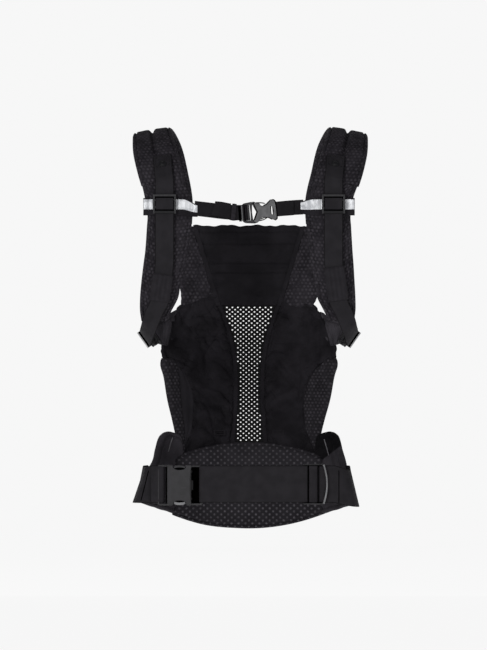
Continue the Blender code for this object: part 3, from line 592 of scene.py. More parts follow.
def stitches(name, lines, body, finish=THREAD, pitch=0.0036, length=0.0026, wide=0.00032):
    """Rows of raised stitches along lines of (points, normals)."""
    ring = np.array([[0, 1], [0.9, 0.3], [0.6, -0.8], [-0.6, -0.8], [-0.9, 0.3]])
    points, faces = [], []
    for path, up in lines:
        run = travel(path)
        count = int(run[-1] / pitch)
        if count < 1:
            continue
        mid = (np.arange(count) + 0.5) * run[-1] / count
        centre = np.stack([np.interp(mid, run, path[:, k]) for k in range(3)], -1)
        top = unit(np.stack([np.interp(mid, run, up[:, k]) for k in range(3)], -1))
        ahead = np.stack([np.interp(mid + 0.0004, run, path[:, k])
                          - np.interp(mid - 0.0004, run, path[:, k]) for k in range(3)], -1)
        ahead = unit(ahead)
        side = unit(np.cross(top, ahead))
        for c, a, b, n in zip(centre, ahead, side, top):
            first = len(points)
            points.append(c - a * length / 2 - n * 0.0002)
            for x in (-0.28, 0.28):
                points.extend(c + a * length * x + b * p * wide + n * q * wide for p, q in ring)
            points.append(c + a * length / 2 - n * 0.0002)
            for k, m in pairs(5):
                faces.append((first, first + 1 + m, first + 1 + k))
                faces.append((first + 1 + k, first + 1 + m, first + 6 + m))
                faces.append((first + 1 + k, first + 6 + m, first + 6 + k))
                faces.append((first + 11, first + 6 + k, first + 6 + m))
    return settle(mesh_object(name, points, faces, finish), body)


def on_front(obj, line, lift):
    """Points on the object's near face along a line of (x, z) corners."""
    mesh = obj.data
    tree = BVHTree.FromPolygons([v.co[:] for v in mesh.vertices], [p.vertices[:] for p in mesh.polygons])
    run = travel(line) / travel(line)[-1]
    found = []
    for t in np.linspace(0, 1, 30):
        x, z = (np.interp(t, run, line[:, k]) for k in (0, 1))
        hit = tree.ray_cast((x, -0.5, z), (0, 1, 0))[0]
        if hit is not None:
            found.append(np.array(hit) + (0, -lift, 0))
    return found


def tube(name, path, radius, finish):
    """A round cord along a path."""
    path, sides = np.asarray(path, float), 10
    ahead = unit(np.gradient(path, axis=0))
    up = np.array([0.0, 0.0, 1.0]) if abs(ahead[0, 2]) < 0.9 else np.array([0.0, 1.0, 0.0])
    rings = []
    for a, c in zip(ahead, path):
        side = unit(np.cross(a, up))
        up = np.cross(side, a)
        turn = np.linspace(0, 2 * np.pi, sides, endpoint=False)[:, None]
        rings.append(c + side * np.cos(turn) * radius + up * np.sin(turn) * radius)
    grid = np.array(rings)
    rows = len(path)
    faces = ring_faces(rows, sides)
    points = list(grid.reshape(-1, 3)) + [path[0], path[-1]]
    last = (rows - 1) * sides
    for k, m in pairs(sides):
        faces += [(rows * sides, m, k), (rows * sides + 1, last + k, last + m)]
    mesh = bpy.data.meshes.new(name)
    mesh.from_pydata([tuple(p) for p in points], [], faces)
    layer = mesh.uv_layers.new(name="metric")
    run = travel(path)
    for loop, corner in zip(mesh.loops, layer.data):
        i = loop.vertex_index
        corner.uv = (2 * math.pi * radius * (i % sides) / sides, run[min(i // sides, rows - 1)])
    smoothed(mesh)
    mesh.materials.append(finish)
    return shown(name, mesh)


def joined(name, *objs):
    """One object from several, by their evaluated meshes."""
    bm = bmesh.new()
    bpy.context.view_layer.update()
    graph = bpy.context.evaluated_depsgraph_get()
    finishes = []
    for obj in objs:
        made = bpy.data.meshes.new_from_object(obj.evaluated_get(graph))
        made.transform(obj.matrix_world)
        index = []
        for finish in made.materials:
            if finish not in finishes:
                finishes.append(finish)
            index.append(finishes.index(finish))
        for face in made.polygons:
            face.material_index = index[face.material_index]
        bm.from_mesh(made)
        bpy.data.meshes.remove(made)
        bpy.data.objects.remove(obj)
    mesh = bpy.data.meshes.new(name)
    bm.to_mesh(mesh)
    bm.free()
    for finish in finishes:
        mesh.materials.append(finish)
    return shown(name, mesh)


def box_stitch(soft, s0, s1, t0, t1, lift=0.0001):
    """A sewn box with its two diagonals."""
    k = np.linspace(0, 1, 40)
    rows = [(s0 + (s1 - s0) * k, t0 + 0 * k), (s0 + (s1 - s0) * k, t1 + 0 * k),
            (s0 + 0 * k, t0 + (t1 - t0) * k), (s1 + 0 * k, t0 + (t1 - t0) * k),
            (s0 + (s1 - s0) * k, t0 + (t1 - t0) * k), (s1 + (s0 - s1) * k, t0 + (t1 - t0) * k)]
    return [soft.at(s, t, lift) for s, t in rows]


def lane(middle, across):
    """A strap's surface: s runs from the +across edge to the other, t along it."""
    run = travel(middle) / travel(middle)[-1]

    def surface(s, t):
        c = np.stack([np.interp(t, run, middle[:, k]) for k in range(3)], -1)
        a = np.stack([np.interp(t, run, across[:, k]) for k in range(3)], -1)
        return c + a * (1 - 2 * s)[..., None]

    return surface


# ---------------------------------------------------------------- body panel
WEB_THICK, STRAP_WEB, CHEST_WEB, WAIST_WEB, GAP = 0.0014, 0.025, 0.020, 0.050, 0.0004
NEAR_Y, CHEST_Z, PAD_THICK = -0.095, 0.370, 0.012
PANEL_LOW, WINDOW_TOP, FOLD_LEVEL, PANEL_TOP, LEG_TOP = 0.0605, 0.242, 0.290, 0.346, 0.169
HIDDEN_LOW = PANEL_LOW - 0.012      # where the panel's cloth ends behind the waist pad
PANEL_SAG, SAG_TOP = 2.3, 0.140
# Depth of the panel at its middle, how far it falls back 0.1 m from there, and the
# half-widths of its seams, all against height.
depth_at = on_table(((0.058, 0.103), (0.100, 0.116), (0.150, 0.128), (0.190, 0.128),
                     (0.242, 0.118), (0.300, 0.104), (0.346, 0.093)))
fall_at = on_table(((0.058, 0.036), (0.100, 0.042), (0.150, 0.044), (0.190, 0.038),
                    (0.242, 0.026), (0.300, 0.020), (0.346, 0.015)))
window_edge = on_table(((0.058, 0.0185), (0.085, 0.0165), (0.112, 0.0145), (0.153, 0.015),
                        (0.180, 0.018), (0.207, 0.0245), (0.242, 0.0365)))
head_edge = on_table(((0.242, 0.0445), (0.346, 0.0755)))
leg_line = on_table(((0.058, 0.092), (0.068, 0.086), (0.086, 0.077), (0.113, 0.075),
                     (0.146, 0.086), (0.160, 0.099), (0.170, 0.112)))
panel_edge = on_table(((0.058, 0.097), (0.080, 0.099), (0.097, 0.103), (0.121, 0.110),
                       (0.145, 0.115), (0.161, 0.119), (0.172, 0.118), (0.190, 0.117),
                       (0.215, 0.108), (0.235, 0.097), (0.242, 0.092), (0.300, 0.100),
                       (0.325, 0.108), (0.346, 0.120)))


def band_edge(level):
    return window_edge(level) + 0.008


def leg_seam(level):
    return np.minimum(leg_line(level), panel_edge(level) - 0.002)


def panel_point(x, level, proud=0.0):
    """A point of the panel's middle surface; proud moves it towards the wearer. The lower
    rows curve down to the sides."""
    x, level = np.asarray(x, float), np.asarray(level, float)
    fade = np.clip((SAG_TOP - level) / (SAG_TOP - PANEL_LOW), 0, 1)
    y = depth_at(level) - fall_at(level) * (x / 0.1) ** 2 - proud
    return np.stack([x, y, level - PANEL_SAG * fade * x * x], -1)


def patch(inner, outer, low, high, proud=0.0):
    """The stretch of panel between two seams, as a surface of s and t. high is a level, or
    gives one at each s."""
    def surface(s, t):
        top = high(s) if callable(high) else high
        level = low + (top - low) * t
        return panel_point(inner(level) + (outer(level) - inner(level)) * s, level, proud)
    return surface


def make_window():
    """The net: a staggered lattice of oval holes, with a plain margin under its binding."""
    pitch, rows, wide, tall = 0.0075, 0.00305, 0.00140, 0.00108
    points, faces = [], []
    low, high = HIDDEN_LOW, WINDOW_TOP + 0.002
    count = int((high - low) / rows) + 2
    key = {}

    def vertex(x, level):
        half = float(window_edge(min(max(level, low), high))) + 0.003
        x, level = min(max(x, -half), half), min(max(level, low), high)
        mark = (round(x * 2e5), round(level * 2e5))
        if mark not in key:
            key[mark] = len(points)
            points.append(panel_point(x, level))
        return key[mark]

    corners = ((pitch / 2, 0), (0, rows), (-pitch / 2, 0), (0, -rows))
    for j in range(count):
        level = low + j * rows
        for i in range(-9, 10):
            x = (i + 0.5 * (j % 2)) * pitch
            half = float(window_edge(min(max(level, low), high)))
            if abs(x) - pitch / 2 > half + 0.003:
                continue
            rim = []
            for (ax, az), (bx, bz) in zip(corners, corners[1:] + corners[:1]):
                for t in (0, 1 / 3, 2 / 3):
                    rim.append((ax + (bx - ax) * t, az + (bz - az) * t))
            outer = [vertex(x + a, level + b) for a, b in rim]
            if abs(x) + wide < half + 0.001 and PANEL_LOW - 0.004 < level < WINDOW_TOP - 0.0015:
                inner = []
                open_part = float(np.interp(level, (0.09, 0.14, 0.19, 0.215), (0.72, 0.64, 0.66, 0.80)))
                for a, b in rim:
                    reach = open_part / math.hypot(a / wide, b / tall)
                    inner.append(vertex(x + a * reach, level + b * reach))
                faces += [(outer[k], outer[m], inner[m], inner[k]) for k, m in pairs(12)]
            else:
                middle = vertex(x, level)
                faces += [(outer[k], outer[m], middle) for k, m in pairs(12)]
    seen, kept = set(), []
    for face in faces:
        mark = frozenset(face)
        if len(mark) == len(face) and mark not in seen:
            seen.add(mark)
            kept.append(face)
    mesh = bpy.data.meshes.new("window_net")
    mesh.from_pydata([tuple(p) for p in points], [], kept)
    bm = bmesh.new()
    bm.from_mesh(mesh)
    bmesh.ops.dissolve_degenerate(bm, dist=1e-6, edges=bm.edges)
    bmesh.ops.recalc_face_normals(bm, faces=bm.faces)
    bm.to_mesh(mesh)
    bm.free()
    mesh.materials.append(NET)
    obj = shown("window_net", mesh)
    thickness = obj.modifiers.new("thickness", "SOLIDIFY")
    thickness.thickness = 0.0008
    thickness.offset = 0
    rounding = obj.modifiers.new("rounding", "SUBSURF")
    rounding.levels = rounding.render_levels = 1
    obj = joined("window_net", obj)
    smoothed(obj.data)
    settle(obj, "harness", "mesh_window", slot="smooth_fabric")


def creases(surface, lines):
    """A dent along each line of (x, z) points, as (points, width, depth); depth below 0
    raises a fold."""
    def depth(s, t):
        grid = surface(s, t)
        x, z = grid[..., 0], grid[..., 2]
        found = np.zeros_like(x)
        for points, width, deep in lines:
            near = np.full(x.shape, 1.0)
            for (ax, az), (bx, bz) in zip(points, points[1:]):
                length = (bx - ax) ** 2 + (bz - az) ** 2
                k = np.clip(((x - ax) * (bx - ax) + (z - az) * (bz - az)) / length, 0, 1)
                near = np.minimum(near, np.hypot(x - ax - k * (bx - ax), z - az - k * (bz - az)))
            found -= deep * bell(near, width)
        return found
    return depth


SEAT_FOLDS = {
    "left": (([(-0.0755, 0.2246), (-0.0594, 0.2266), (-0.0418, 0.2220)], 0.0016, 0.0016),
             ([(-0.0750, 0.1962), (-0.0500, 0.1985), (-0.0310, 0.1981)], 0.0012, 0.0013),
             ([(-0.0750, 0.1911), (-0.0240, 0.1935)], 0.0012, 0.0010),
             ([(-0.0594, 0.1894), (-0.0446, 0.1773)], 0.0018, 0.0015),
             ([(-0.0446, 0.1908), (-0.0567, 0.1773)], 0.0018, -0.0012),
             ([(-0.0526, 0.1692), (-0.0380, 0.1600), (-0.0230, 0.1422)], 0.0022, 0.0018),
             ([(-0.1120, 0.1690), (-0.0960, 0.1650), (-0.0850, 0.1600)], 0.0014, 0.0022),
             ([(-0.0880, 0.1620), (-0.0770, 0.1780)], 0.0022, 0.0014),
             ([(-0.0640, 0.1280), (-0.0400, 0.1200), (-0.0300, 0.1050)], 0.0030, -0.0014),
             ([(-0.0560, 0.0960), (-0.0480, 0.0720)], 0.0024, 0.0012),
             ([(-0.0660, 0.2450), (-0.0560, 0.2290), (-0.0480, 0.2120)], 0.0030, -0.0012)),
    "right": (([(0.0450, 0.2250), (0.0740, 0.2262)], 0.0016, 0.0016),
              ([(0.0360, 0.1897), (0.0745, 0.1888)], 0.0012, 0.0014),
              ([(0.0250, 0.1758), (0.0350, 0.1782), (0.0526, 0.1755)], 0.0016, 0.0016),
              ([(0.1134, 0.1665), (0.0960, 0.1600), (0.0873, 0.1503)], 0.0014, 0.0022),
              ([(0.0780, 0.2180), (0.0790, 0.1960), (0.0760, 0.1830)], 0.0018, 0.0014),
              ([(0.0330, 0.1640), (0.0480, 0.1500), (0.0520, 0.1340)], 0.0030, -0.0014),
              ([(0.0690, 0.1420), (0.0660, 0.1240), (0.0680, 0.1000)], 0.0022, 0.0012),
              ([(0.0280, 0.1200), (0.0400, 0.1080), (0.0430, 0.0900)], 0.0030, -0.0012)),
}


def make_panel():
    """Neck cloth and head support in one, with tucks sewn across it, then both sides."""
    bottom, top = WINDOW_TOP - 0.0015, PANEL_TOP + 0.0020
    front = patch(lambda z: -head_edge(z), head_edge, bottom, top)
    buckled = crumple(front, (50, 40), 0.02, 3, 0.0016)
    seams = [(z - bottom) / (top - bottom) for z in (0.2849, 0.2979, 0.3236, 0.3398)]

    def wavy(s, t):
        rise = 0.0008 * np.sin(s * 23 + 1) + 0.0005 * np.sin(s * 57) + 0.0006
        lift = np.zeros(s.shape + (3,))
        lift[..., 2] = rise * np.clip(t, 0, 1) ** 4
        return buckled(s, t) + lift

    def tucks(s, t):
        found = np.ones_like(s)
        for k in seams:
            found -= 0.6 * bell((t - k) * (top - bottom), 0.0011)
        return found

    obj, cloth = pillow("front_cloth", front, 0.0046, CLOTH, 1, (110, 90), 0.0024, wavy,
                        flat=True, puff=tucks)
    folding(obj)
    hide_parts("neck_panel", "head_support")
    across = np.linspace(0.06, 0.94, 220)
    lines = [cloth.at(across, seams[0], 0.0002)]
    stitches("head_support_stitching", [cloth.at(across, k, 0.0002) for k in seams[1:]]
             + [cloth.at(across, k, 0.0002, "back") for k in seams[1:]], "head_flap")
    for side, sign in SIDES:
        lines += make_panel_side(side, sign)
    stitches("panel_stitching", lines, "harness")


def folding(obj):
    """Bakes the cloth's placement into its mesh; the depth at the head support's fold is read, and
    nothing bends.
    """
    fold = float(depth_at(FOLD_LEVEL))
    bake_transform(obj)


def make_panel_side(side, sign):
    """One side's bindings, upper mesh, seat cloth and leg padding; gives its seam lines."""
    seed = 11 if sign > 0 else 23
    band = patch(window_edge, band_edge, HIDDEN_LOW, WINDOW_TOP + 0.001)
    obj, soft = pillow(f"window_binding_{side}", band, 0.0026, CLOTH, sign, (7, 90), 0.0012,
                       flat=True)
    settle(obj, "harness", f"window_band_{side}", slot="smooth_fabric", fill=0.3)
    lines = [soft.at(s, np.linspace(0.01, 0.99, 260), 0.0001) for s in (0.16, 0.84)]

    strip = patch(lambda z: head_edge(z) - 0.0058, lambda z: head_edge(z) + 0.0004,
                  WINDOW_TOP - 0.002, PANEL_TOP + 0.001, 0.0026)
    obj, _ = pillow(f"front_binding_{side}", strip, 0.0014, PIPING, sign, (7, 80), 0.0009,
                       flat=True)
    folding(obj)

    def outline(level):
        draw = 0.0047 * ramp(-level, -0.2560, -0.2360) * ramp(level, 0.2260, 0.2340)
        return panel_edge(level) - (draw if side == "right" else 0)

    upper = patch(lambda z: head_edge(z) - 0.0004, lambda z: outline(z) - 0.0004,
                  WINDOW_TOP - 0.004, PANEL_TOP + 0.0015, -0.0004)
    buckled = crumple(upper, (20, 44), 0.02, seed, 0.0018)
    obj, _ = pillow(f"upper_side_mesh_{side}", upper, 0.0054, FINE, sign, (40, 90), 0.003,
                       buckled, flat=True)
    settle(obj, "harness", f"upper_side_panel_{side}", slot="spacer_mesh", fill=0.4)

    def far(level):
        mix = ramp(level, 0.1635, 0.1725)
        return (leg_seam(level) + 0.0020) * (1 - mix) + (outline(level) - 0.0006) * mix

    def hem(s):
        return 0.2560 - 0.0150 * ramp(s, 0.15, 1.0)

    seat = patch(lambda z: band_edge(z) - 0.0008, far, HIDDEN_LOW, hem, 0.0010)
    buckled = crumple(seat, (34, 66), 0.05, seed + 1, 0.0036, 18, 0.25, 0.0012)
    folds = creases(seat, [([(x * sign, z) for x, z in line], w, d)
                           for line, w, d in SEAT_FOLDS[side]])

    def gathers(s, t):
        """Soft folds that fan in from the outer edge, above the leg padding."""
        level = PANEL_LOW + (WINDOW_TOP - PANEL_LOW) * t
        fan = 0.0014 * np.sin((s * 9 + (level - 0.20) * 60) * 2.2) * ramp(s, 0.45, 0.9)
        return fan * ramp(level, 0.172, 0.186) * (1 - ramp(level, 0.225, 0.240)) + folds(s, t)

    obj, soft = pillow(f"seat_cloth_{side}", seat, 0.0044, SEAT, sign, (90, 170), 0.0024,
                       buckled, flat=True, ruffle=gathers)
    settle(obj, "harness", f"seat_panel_{side}", slot="smooth_fabric", fill=0.25)
    lines += [soft.at(0.04, np.linspace(0.02, 0.98, 260), 0.0002),
              soft.at(0.93, np.linspace(0.02, 0.52, 160), 0.0002),
              soft.at(np.linspace(0.03, 0.97, 120), 0.982, 0.0002)]

    fold_line = on_table(((0.045, 0.0880), (0.076, 0.0877), (0.110, 0.0925), (0.160, 0.0990),
                          (0.169, 0.1040))) if side == "left" else leg_seam
    pad = patch(lambda z: np.minimum(fold_line(z), panel_edge(z) - 0.003) - 0.0004,
                lambda z: panel_edge(z) - 0.0002 - 0.0022 * (sign > 0) * (1 - ramp(z, 0.07, 0.15)),
                HIDDEN_LOW, LEG_TOP, 0.0006)
    obj, _ = pillow(f"leg_padding_{side}", pad, 0.0092, MESH_LEG, sign, (30, 100), 0.0050,
                       flat=True)
    settle(obj, "harness", f"leg_pad_{side}", slot="spacer_mesh", fill=0.7)
    if side == "left":
        strip = patch(leg_seam, lambda z: np.minimum(fold_line(z), panel_edge(z) - 0.003),
                      HIDDEN_LOW, LEG_TOP - 0.002, 0.0030)
        obj, _ = pillow(f"leg_facing_{side}", strip, 0.0030, LINING, sign, (14, 70), 0.0022,
                        flat=True, ruffle=lambda s, t: 0.0004 * np.sin(s * 9 + t * 4))
        settle(obj, "harness", slot="smooth_fabric", fill=0.3)
    return lines


# ---------------------------------------------------------------- waistbelt
def make_waist_pad():
    def surface(s, t):
        x = 0.1035 * (2 * s - 1)
        u = (x / 0.1) ** 2
        low = -0.0622 + 0.0195 * u - 0.0022 * ramp(-x, 0.01, 0.07)
        top = 0.0552 - 0.0190 * u
        return np.stack([x, 0.092 - 0.0272 * u, low + (top - low) * t], -1)

    def quilt(s, t):
        return 1 - 0.5 * bell((t - 0.965) * 0.115, 0.0011) - 0.5 * bell((t - 0.035) * 0.115, 0.0011)

    def swell(s, t):
        return 0.0006 * np.sin(s * 19 + 0.7) * np.sin(t * 9 + s * 4)

    obj, soft = pillow("waist_padding", surface, 0.0150, MESH, 1, (130, 80), 0.0060,
                       puff=quilt, ruffle=swell, flat=True)
    settle(obj, "harness", "waist_pad", slot="spacer_mesh", fill=0.75)
    across = np.linspace(0.02, 0.98, 260)
    stitches("waist_stitching", [soft.at(across, t, 0.0002, face) for t in (0.035, 0.965)
                                 for face in ("front", "back")], "harness")


WAIST_WING = ((0.0915, 0.0700, -0.043, 0.050), (0.0945, 0.0680, -0.042, 0.0640),
              (0.1040, 0.0605, -0.041, 0.0687), (0.1120, 0.0510, -0.038, 0.0693),
              (0.1190, 0.0360, -0.036, 0.0640), (0.1245, 0.0180, -0.033, 0.0520),
              (0.1290, -0.0060, -0.031, 0.0380), (0.1345, -0.0330, -0.028, 0.0240),
              (0.1385, -0.0600, -0.026, 0.0210))


def plan_normals(rows):
    ahead = np.roll(rows, -1, axis=0)
    behind = np.roll(rows, 1, axis=0)
    ahead[-1], behind[0] = rows[-1], rows[0]
    run = ahead - behind
    return unit(np.stack([-run[:, 1], run[:, 0], np.zeros(len(rows))], -1))


def wing_stations(steps):
    """Middle and half-width of the padded waistbelt end, leaning over the hip."""
    rows = through(WAIST_WING, steps)
    lean = 0.20 * ramp(0.055 - rows[:, 1], 0.0, 0.100)
    half = ((rows[:, 3] - rows[:, 2]) / 2)[:, None]
    across = (plan_normals(rows) * lean[:, None] + (0, 0, -1)) * half
    level = ((rows[:, 2] + rows[:, 3]) / (rows[:, 3] - rows[:, 2]))[:, None]
    middle = np.stack([rows[:, 0], rows[:, 1], 0 * rows[:, 0]], -1) - across * level
    return middle, across


def make_waist_wings():
    middle, across = wing_stations(12)
    for side, sign in SIDES:
        run = ramp(-middle[:, 1], 0.0, 0.055)[:, None]
        centre = middle + run * ((-0.0038, 0, -0.002) if side == "right" else (0.0010, 0, 0.0))

        def swell(s, t, k=sign):
            return 0.0008 * np.sin(t * 14 + 2 * k) * np.sin(s * 5 + k) * np.sin(np.pi * t)

        def quilt(s, t):
            edges = 0.5 * bell((s - 0.95) * 0.09, 0.0014) + 0.5 * bell((s - 0.05) * 0.09, 0.0014)
            return (1 - edges) * (0.82 + 0.3 * ramp(s, 0.7, 0.98))

        finish = HIP if side == "right" else HIP_LEFT
        obj, soft = pillow(f"waist_wing_padding_{side}", lane(centre, across), 0.0090, finish,
                           sign, (54, 100), 0.0044, puff=quilt, ruffle=swell)
        settle(obj, "harness", f"waist_wing_{side}", slot="spacer_mesh", fill=0.7)
        line = np.array(((0.1034, 0.0612), (0.1064, 0.0530), (0.1094, 0.0423)) if side == "left" else
                        ((0.1019, 0.0592), (0.1046, 0.0500), (0.1080, 0.0373)))
        cord = tube(f"waist_wing_piping_{side}", on_front(obj, line * (sign, 1), 0.0004), 0.0008,
                    PIPE_LIGHT)
        settle(cord, "harness", slot="smooth_fabric")
        along = np.linspace(0.02, 0.98, 200)
        stitches(f"waist_wing_stitching_{side}",
                 [soft.at(s, along, 0.0002, face) for s in (0.05, 0.95)
                  for face in ("front", "back")], "harness")


# ---------------------------------------------------------------- webbing
BAR_WRAP, BAR = 0.0036, 0.0034
# Buckles: webbing, housing, frame behind it, base of the plug, thickness, depth of the notch.
WAIST_SPEC = (0.050, 0.0330, 0.0115, 0.0155, 0.0120, 0.0080)
CHEST_SPEC = (0.020, 0.0260, 0.0085, 0.0105, 0.0088, 0.0042)
SIDE_SPEC = (0.025, 0.0280, 0.0095, 0.0150, 0.0095, 0.0046)
WAIST_MOUTH = vec(-0.0770, NEAR_Y - 0.0015, 0)
LOOP_Y = NEAR_Y - WEB_THICK - 2 * GAP


def dense(stations, step=0.003):
    """Stations of (centre, half-width) closer together, without overshoot at the bends."""
    centre = np.array([c for c, _ in stations])
    across = np.array([a for _, a in stations])
    run = travel(centre)
    rows = eased(run, np.hstack([centre, across]))
    keys = []
    for a, b in zip(run, run[1:]):
        count = max(3 if b - a < 0.006 else 1, int(math.ceil((b - a) / step)))
        keys += list(np.linspace(a, b, count, endpoint=False))
    found = rows(np.array(keys + [run[-1]]))
    return found[:, :3], found[:, 3:]


def ribbon(name, stations, finish=WEB, thick=WEB_THICK, sway=0.0, seed=0):
    """Flat webbing along stations, with a metric weave and a little life in its face."""
    middle, across = dense(stations)
    run = travel(middle)
    total = run[-1]
    place = run / total
    end = 0.0005 / total
    t = np.array([place[0], end, *place[1:-1], 1 - end, 1.0])
    s = np.array([0, 0.012, 0.05, *np.linspace(0.12, 0.88, 9), 0.95, 0.988, 1.0])
    u, v = np.meshgrid(s, t)
    grid = lane(middle, across)(u, v)
    normal = grid_normals(grid)
    if sway:
        wave = sway * (np.sin(v * total * 95 + seed) + 0.7 * np.sin(v * total * 41 + 2 * seed + u))
        calm = ramp(v, 0, 0.1) * (1 - ramp(v, 0.9, 1))
        grid = grid + normal * (wave * calm)[..., None]
    side = np.minimum(u, 1 - u)
    rim = np.sqrt(1 - (1 - np.clip(side / 0.03, 0, 1)) ** 2)
    height = thick / 2 * (0.55 + 0.45 * rim) * (1 + 0.10 * bell(side - 0.05, 0.03))
    width = 2 * np.linalg.norm(across, axis=1).mean()
    uv = np.stack([(u - 0.5) * width, v * total], -1)
    return shell(name, (s, t), grid, normal, height, uv, finish)


def round_bar(bar, towards, arrive, across, tail):
    """Stations that carry webbing round a bar and back; arrive is the side it comes in on."""
    found = []
    for k in range(7):
        angle = math.pi * k / 6
        way = arrive * math.cos(angle) + towards * math.sin(angle)
        found.append((bar + way * BAR_WRAP, across))
    return found + [(bar - arrive * BAR_WRAP - towards * tail, across)]


def turn_rows(side):
    """Where the webbing turns forward round the hip: x, y, drop, and how far it leans."""
    if side == "left":
        return ((0.1462, -0.0690, -0.0010, 0.30), (0.1480, -0.0770, -0.0015, 0.34),
                (0.1455, -0.0880, -0.0015, 0.34), (0.1412, -0.0945, -0.0010, 0.22),
                (0.1300, NEAR_Y, -0.0004, 0.06), (0.1230, NEAR_Y, 0.0, 0.0))
    return ((0.1404, -0.0650, -0.0050, 0.24), (0.1420, -0.0740, -0.0065, 0.24),
            (0.1384, -0.0860, -0.0060, 0.20), (0.1280, -0.0935, -0.0035, 0.08),
            (0.1205, NEAR_Y, -0.0015, 0.02), (0.1130, NEAR_Y, 0.0, 0.0))


def belt_stations(side):
    """Webbing from the padded end's tip, round the hip, up to the straight front run."""
    middle, across = wing_stations(2)
    found = []
    shift = vec(-0.0045, 0, 0) if side == "right" else vec(0.0025, 0, 0)
    lift = (0.010 + WEB_THICK) / 2 + GAP
    ahead = plan_normals(middle.copy())
    for c, a, n in zip(middle, across, ahead):
        if c[1] >= -0.012:
            continue
        way = unit(a)
        c = c + shift + n * lift
        found.append((c - way * (c[2] / way[2]), way * WAIST_WEB / 2))
    rows = np.array(turn_rows(side))
    flat = plan_normals(rows[:, :2].copy())
    for (x, y, z, lean), n in zip(rows, flat):
        found.append((vec(x, y, z), unit(n * lean + (0, 0, -1)) * WAIST_WEB / 2))
    return found


def mirrored(stations):
    return [(c * (-1, 1, 1), a * (1, -1, -1)) for c, a in stations]


def bar_reach(spec):
    """How far the bars of the socket and of the plug lie from the buckle's mouth."""
    return spec[1] + spec[2] - BAR / 2, GAP + spec[3] - BAR / 2


def make_waist_webbing():
    to_socket, to_plug = bar_reach(WAIST_SPEC)
    down, inward = vec(0, 0, -WAIST_WEB / 2), vec(0, 1, 0)
    bar = WAIST_MOUTH - (to_socket - 0.0022, 0, 0)
    left = mirrored(belt_stations("left")) + round_bar(bar, vec(1, 0, 0), inward, -down, 0.014)
    obj, _ = ribbon("waist_strap_left", left, WEB_WIDE, sway=0.00012, seed=1)
    settle(obj, "harness", "waist_webbing_left", slot="webbing")
    # Painted shadow: a thin near-black cord along the left belt end's fold line.
    fold = np.array(((-0.1352, 0.0178), (-0.1451, -0.0222)))
    settle(tube("belt_fold_shadow_left", on_front(obj, fold, 0.0001), 0.0006, SHADOW), "harness")
    bar = WAIST_MOUTH + (to_plug, 0, 0)
    right = belt_stations("right") + [(vec(x, NEAR_Y, 0), down) for x in (0.060, -0.030)]
    right += round_bar(bar, vec(-1, 0, 0), inward, down, 0.003)
    right += [(vec(x, LOOP_Y, 0), down) for x in (-0.030, 0.060, 0.0760)]
    right += [(vec(0.0800, LOOP_Y + 0.0004, 0), down)]
    obj, _ = ribbon("waist_strap_right", right, WEB_WIDE, sway=0.00010, seed=2)
    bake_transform(obj)
    # Painted shadow: a thin near-black cord along the right belt end's fold line.
    fold = np.array(((0.1208, 0.0180), (0.1208, -0.0255)))
    settle(tube("belt_fold_shadow_right", on_front(obj, fold, 0.0001), 0.0005, SHADOW), "harness")
    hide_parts("waist_webbing_right")
    place = vec(0.0862, (NEAR_Y + LOOP_Y) / 2 - 0.0006, 0)
    loop = [(vec(0.0805, LOOP_Y + 0.0012, 0), down), (vec(0.0812, LOOP_Y - 0.0012, 0), down),
            (vec(0.0825, LOOP_Y - 0.0026, 0), down), (place + (0, LOOP_Y - place[1] - 0.0029, 0), down),
            (vec(0.0902, LOOP_Y - 0.0026, 0), down), (vec(0.0915, LOOP_Y - 0.0012, 0), down),
            (vec(0.0922, LOOP_Y + 0.0012, 0), down)]
    obj, _ = ribbon("waist_slide_loop", loop, WEB_WIDE)
    settle(obj, "waist_adjuster_body", slot="webbing")


# ---------------------------------------------------------------- shoulder straps
SHOULDER = ((0.0985, 0.0900, 0.3480, 0.0215, 0.00), (0.1030, 0.0930, 0.3800, 0.027, 0.00),
            (0.1100, 0.0840, 0.4150, 0.031, 0.03), (0.1180, 0.0620, 0.4450, 0.032, 0.08),
            (0.1245, 0.0330, 0.4640, 0.030, 0.14), (0.1290, 0.0000, 0.4710, 0.0285, 0.17),
            (0.1290, -0.0360, 0.4645, 0.0295, 0.15), (0.1255, -0.0680, 0.4470, 0.0318, 0.08),
            (0.1198, -0.0880, 0.4240, 0.0322, 0.02), (0.1147, NEAR_Y, 0.4050, 0.0312, 0.00),
            (0.1102, NEAR_Y, 0.3850, 0.0300, 0.00), (0.1070, NEAR_Y, 0.3620, 0.0295, 0.00),
            (0.1073, NEAR_Y, 0.3450, 0.0300, 0.00), (0.1105, NEAR_Y, 0.3150, 0.0287, 0.00),
            (0.1128, NEAR_Y, 0.2950, 0.0285, 0.00), (0.1170, NEAR_Y, 0.2705, 0.0265, 0.00),
            (0.1190, NEAR_Y, 0.2515, 0.0258, 0.00), (0.1234, NEAR_Y, 0.2340, 0.0216, 0.00),
            (0.1262, NEAR_Y, 0.2190, 0.0168, 0.00))
STRAP_X, STAND_OFF, SIDE_LEAN = 0.1135, 0.0052, 0.70
WEB_Y = NEAR_Y - PAD_THICK / 2 - STAND_OFF
KEEPER_HIGH, KEEPER_LOW = vec(0.1140, WEB_Y, 0.2930), vec(0.1205, WEB_Y, 0.2445)
WING_END, BUCKLE_END = vec(0.1285, 0.0080, 0.2030), vec(0.1390, -0.0740, 0.1960)
SIDE_MOUTH = 0.0475


def shoulder_rows(side):
    """The strap's table with each side's own drift near its lower end."""
    rows = np.array(SHOULDER)
    low = ramp(-rows[:, 2], -0.330, -0.250) * (rows[:, 1] < -0.09)
    rows[:, 0] += low * (-0.0018 if side == "right" else 0.0016)
    high = ramp(rows[:, 2], 0.380, 0.415)
    rows[:, 0] += high * (0.0034 if side == "right" else 0.0008)
    rows[:, 3] -= high * (0.0013 if side == "right" else 0.0022)
    return rows


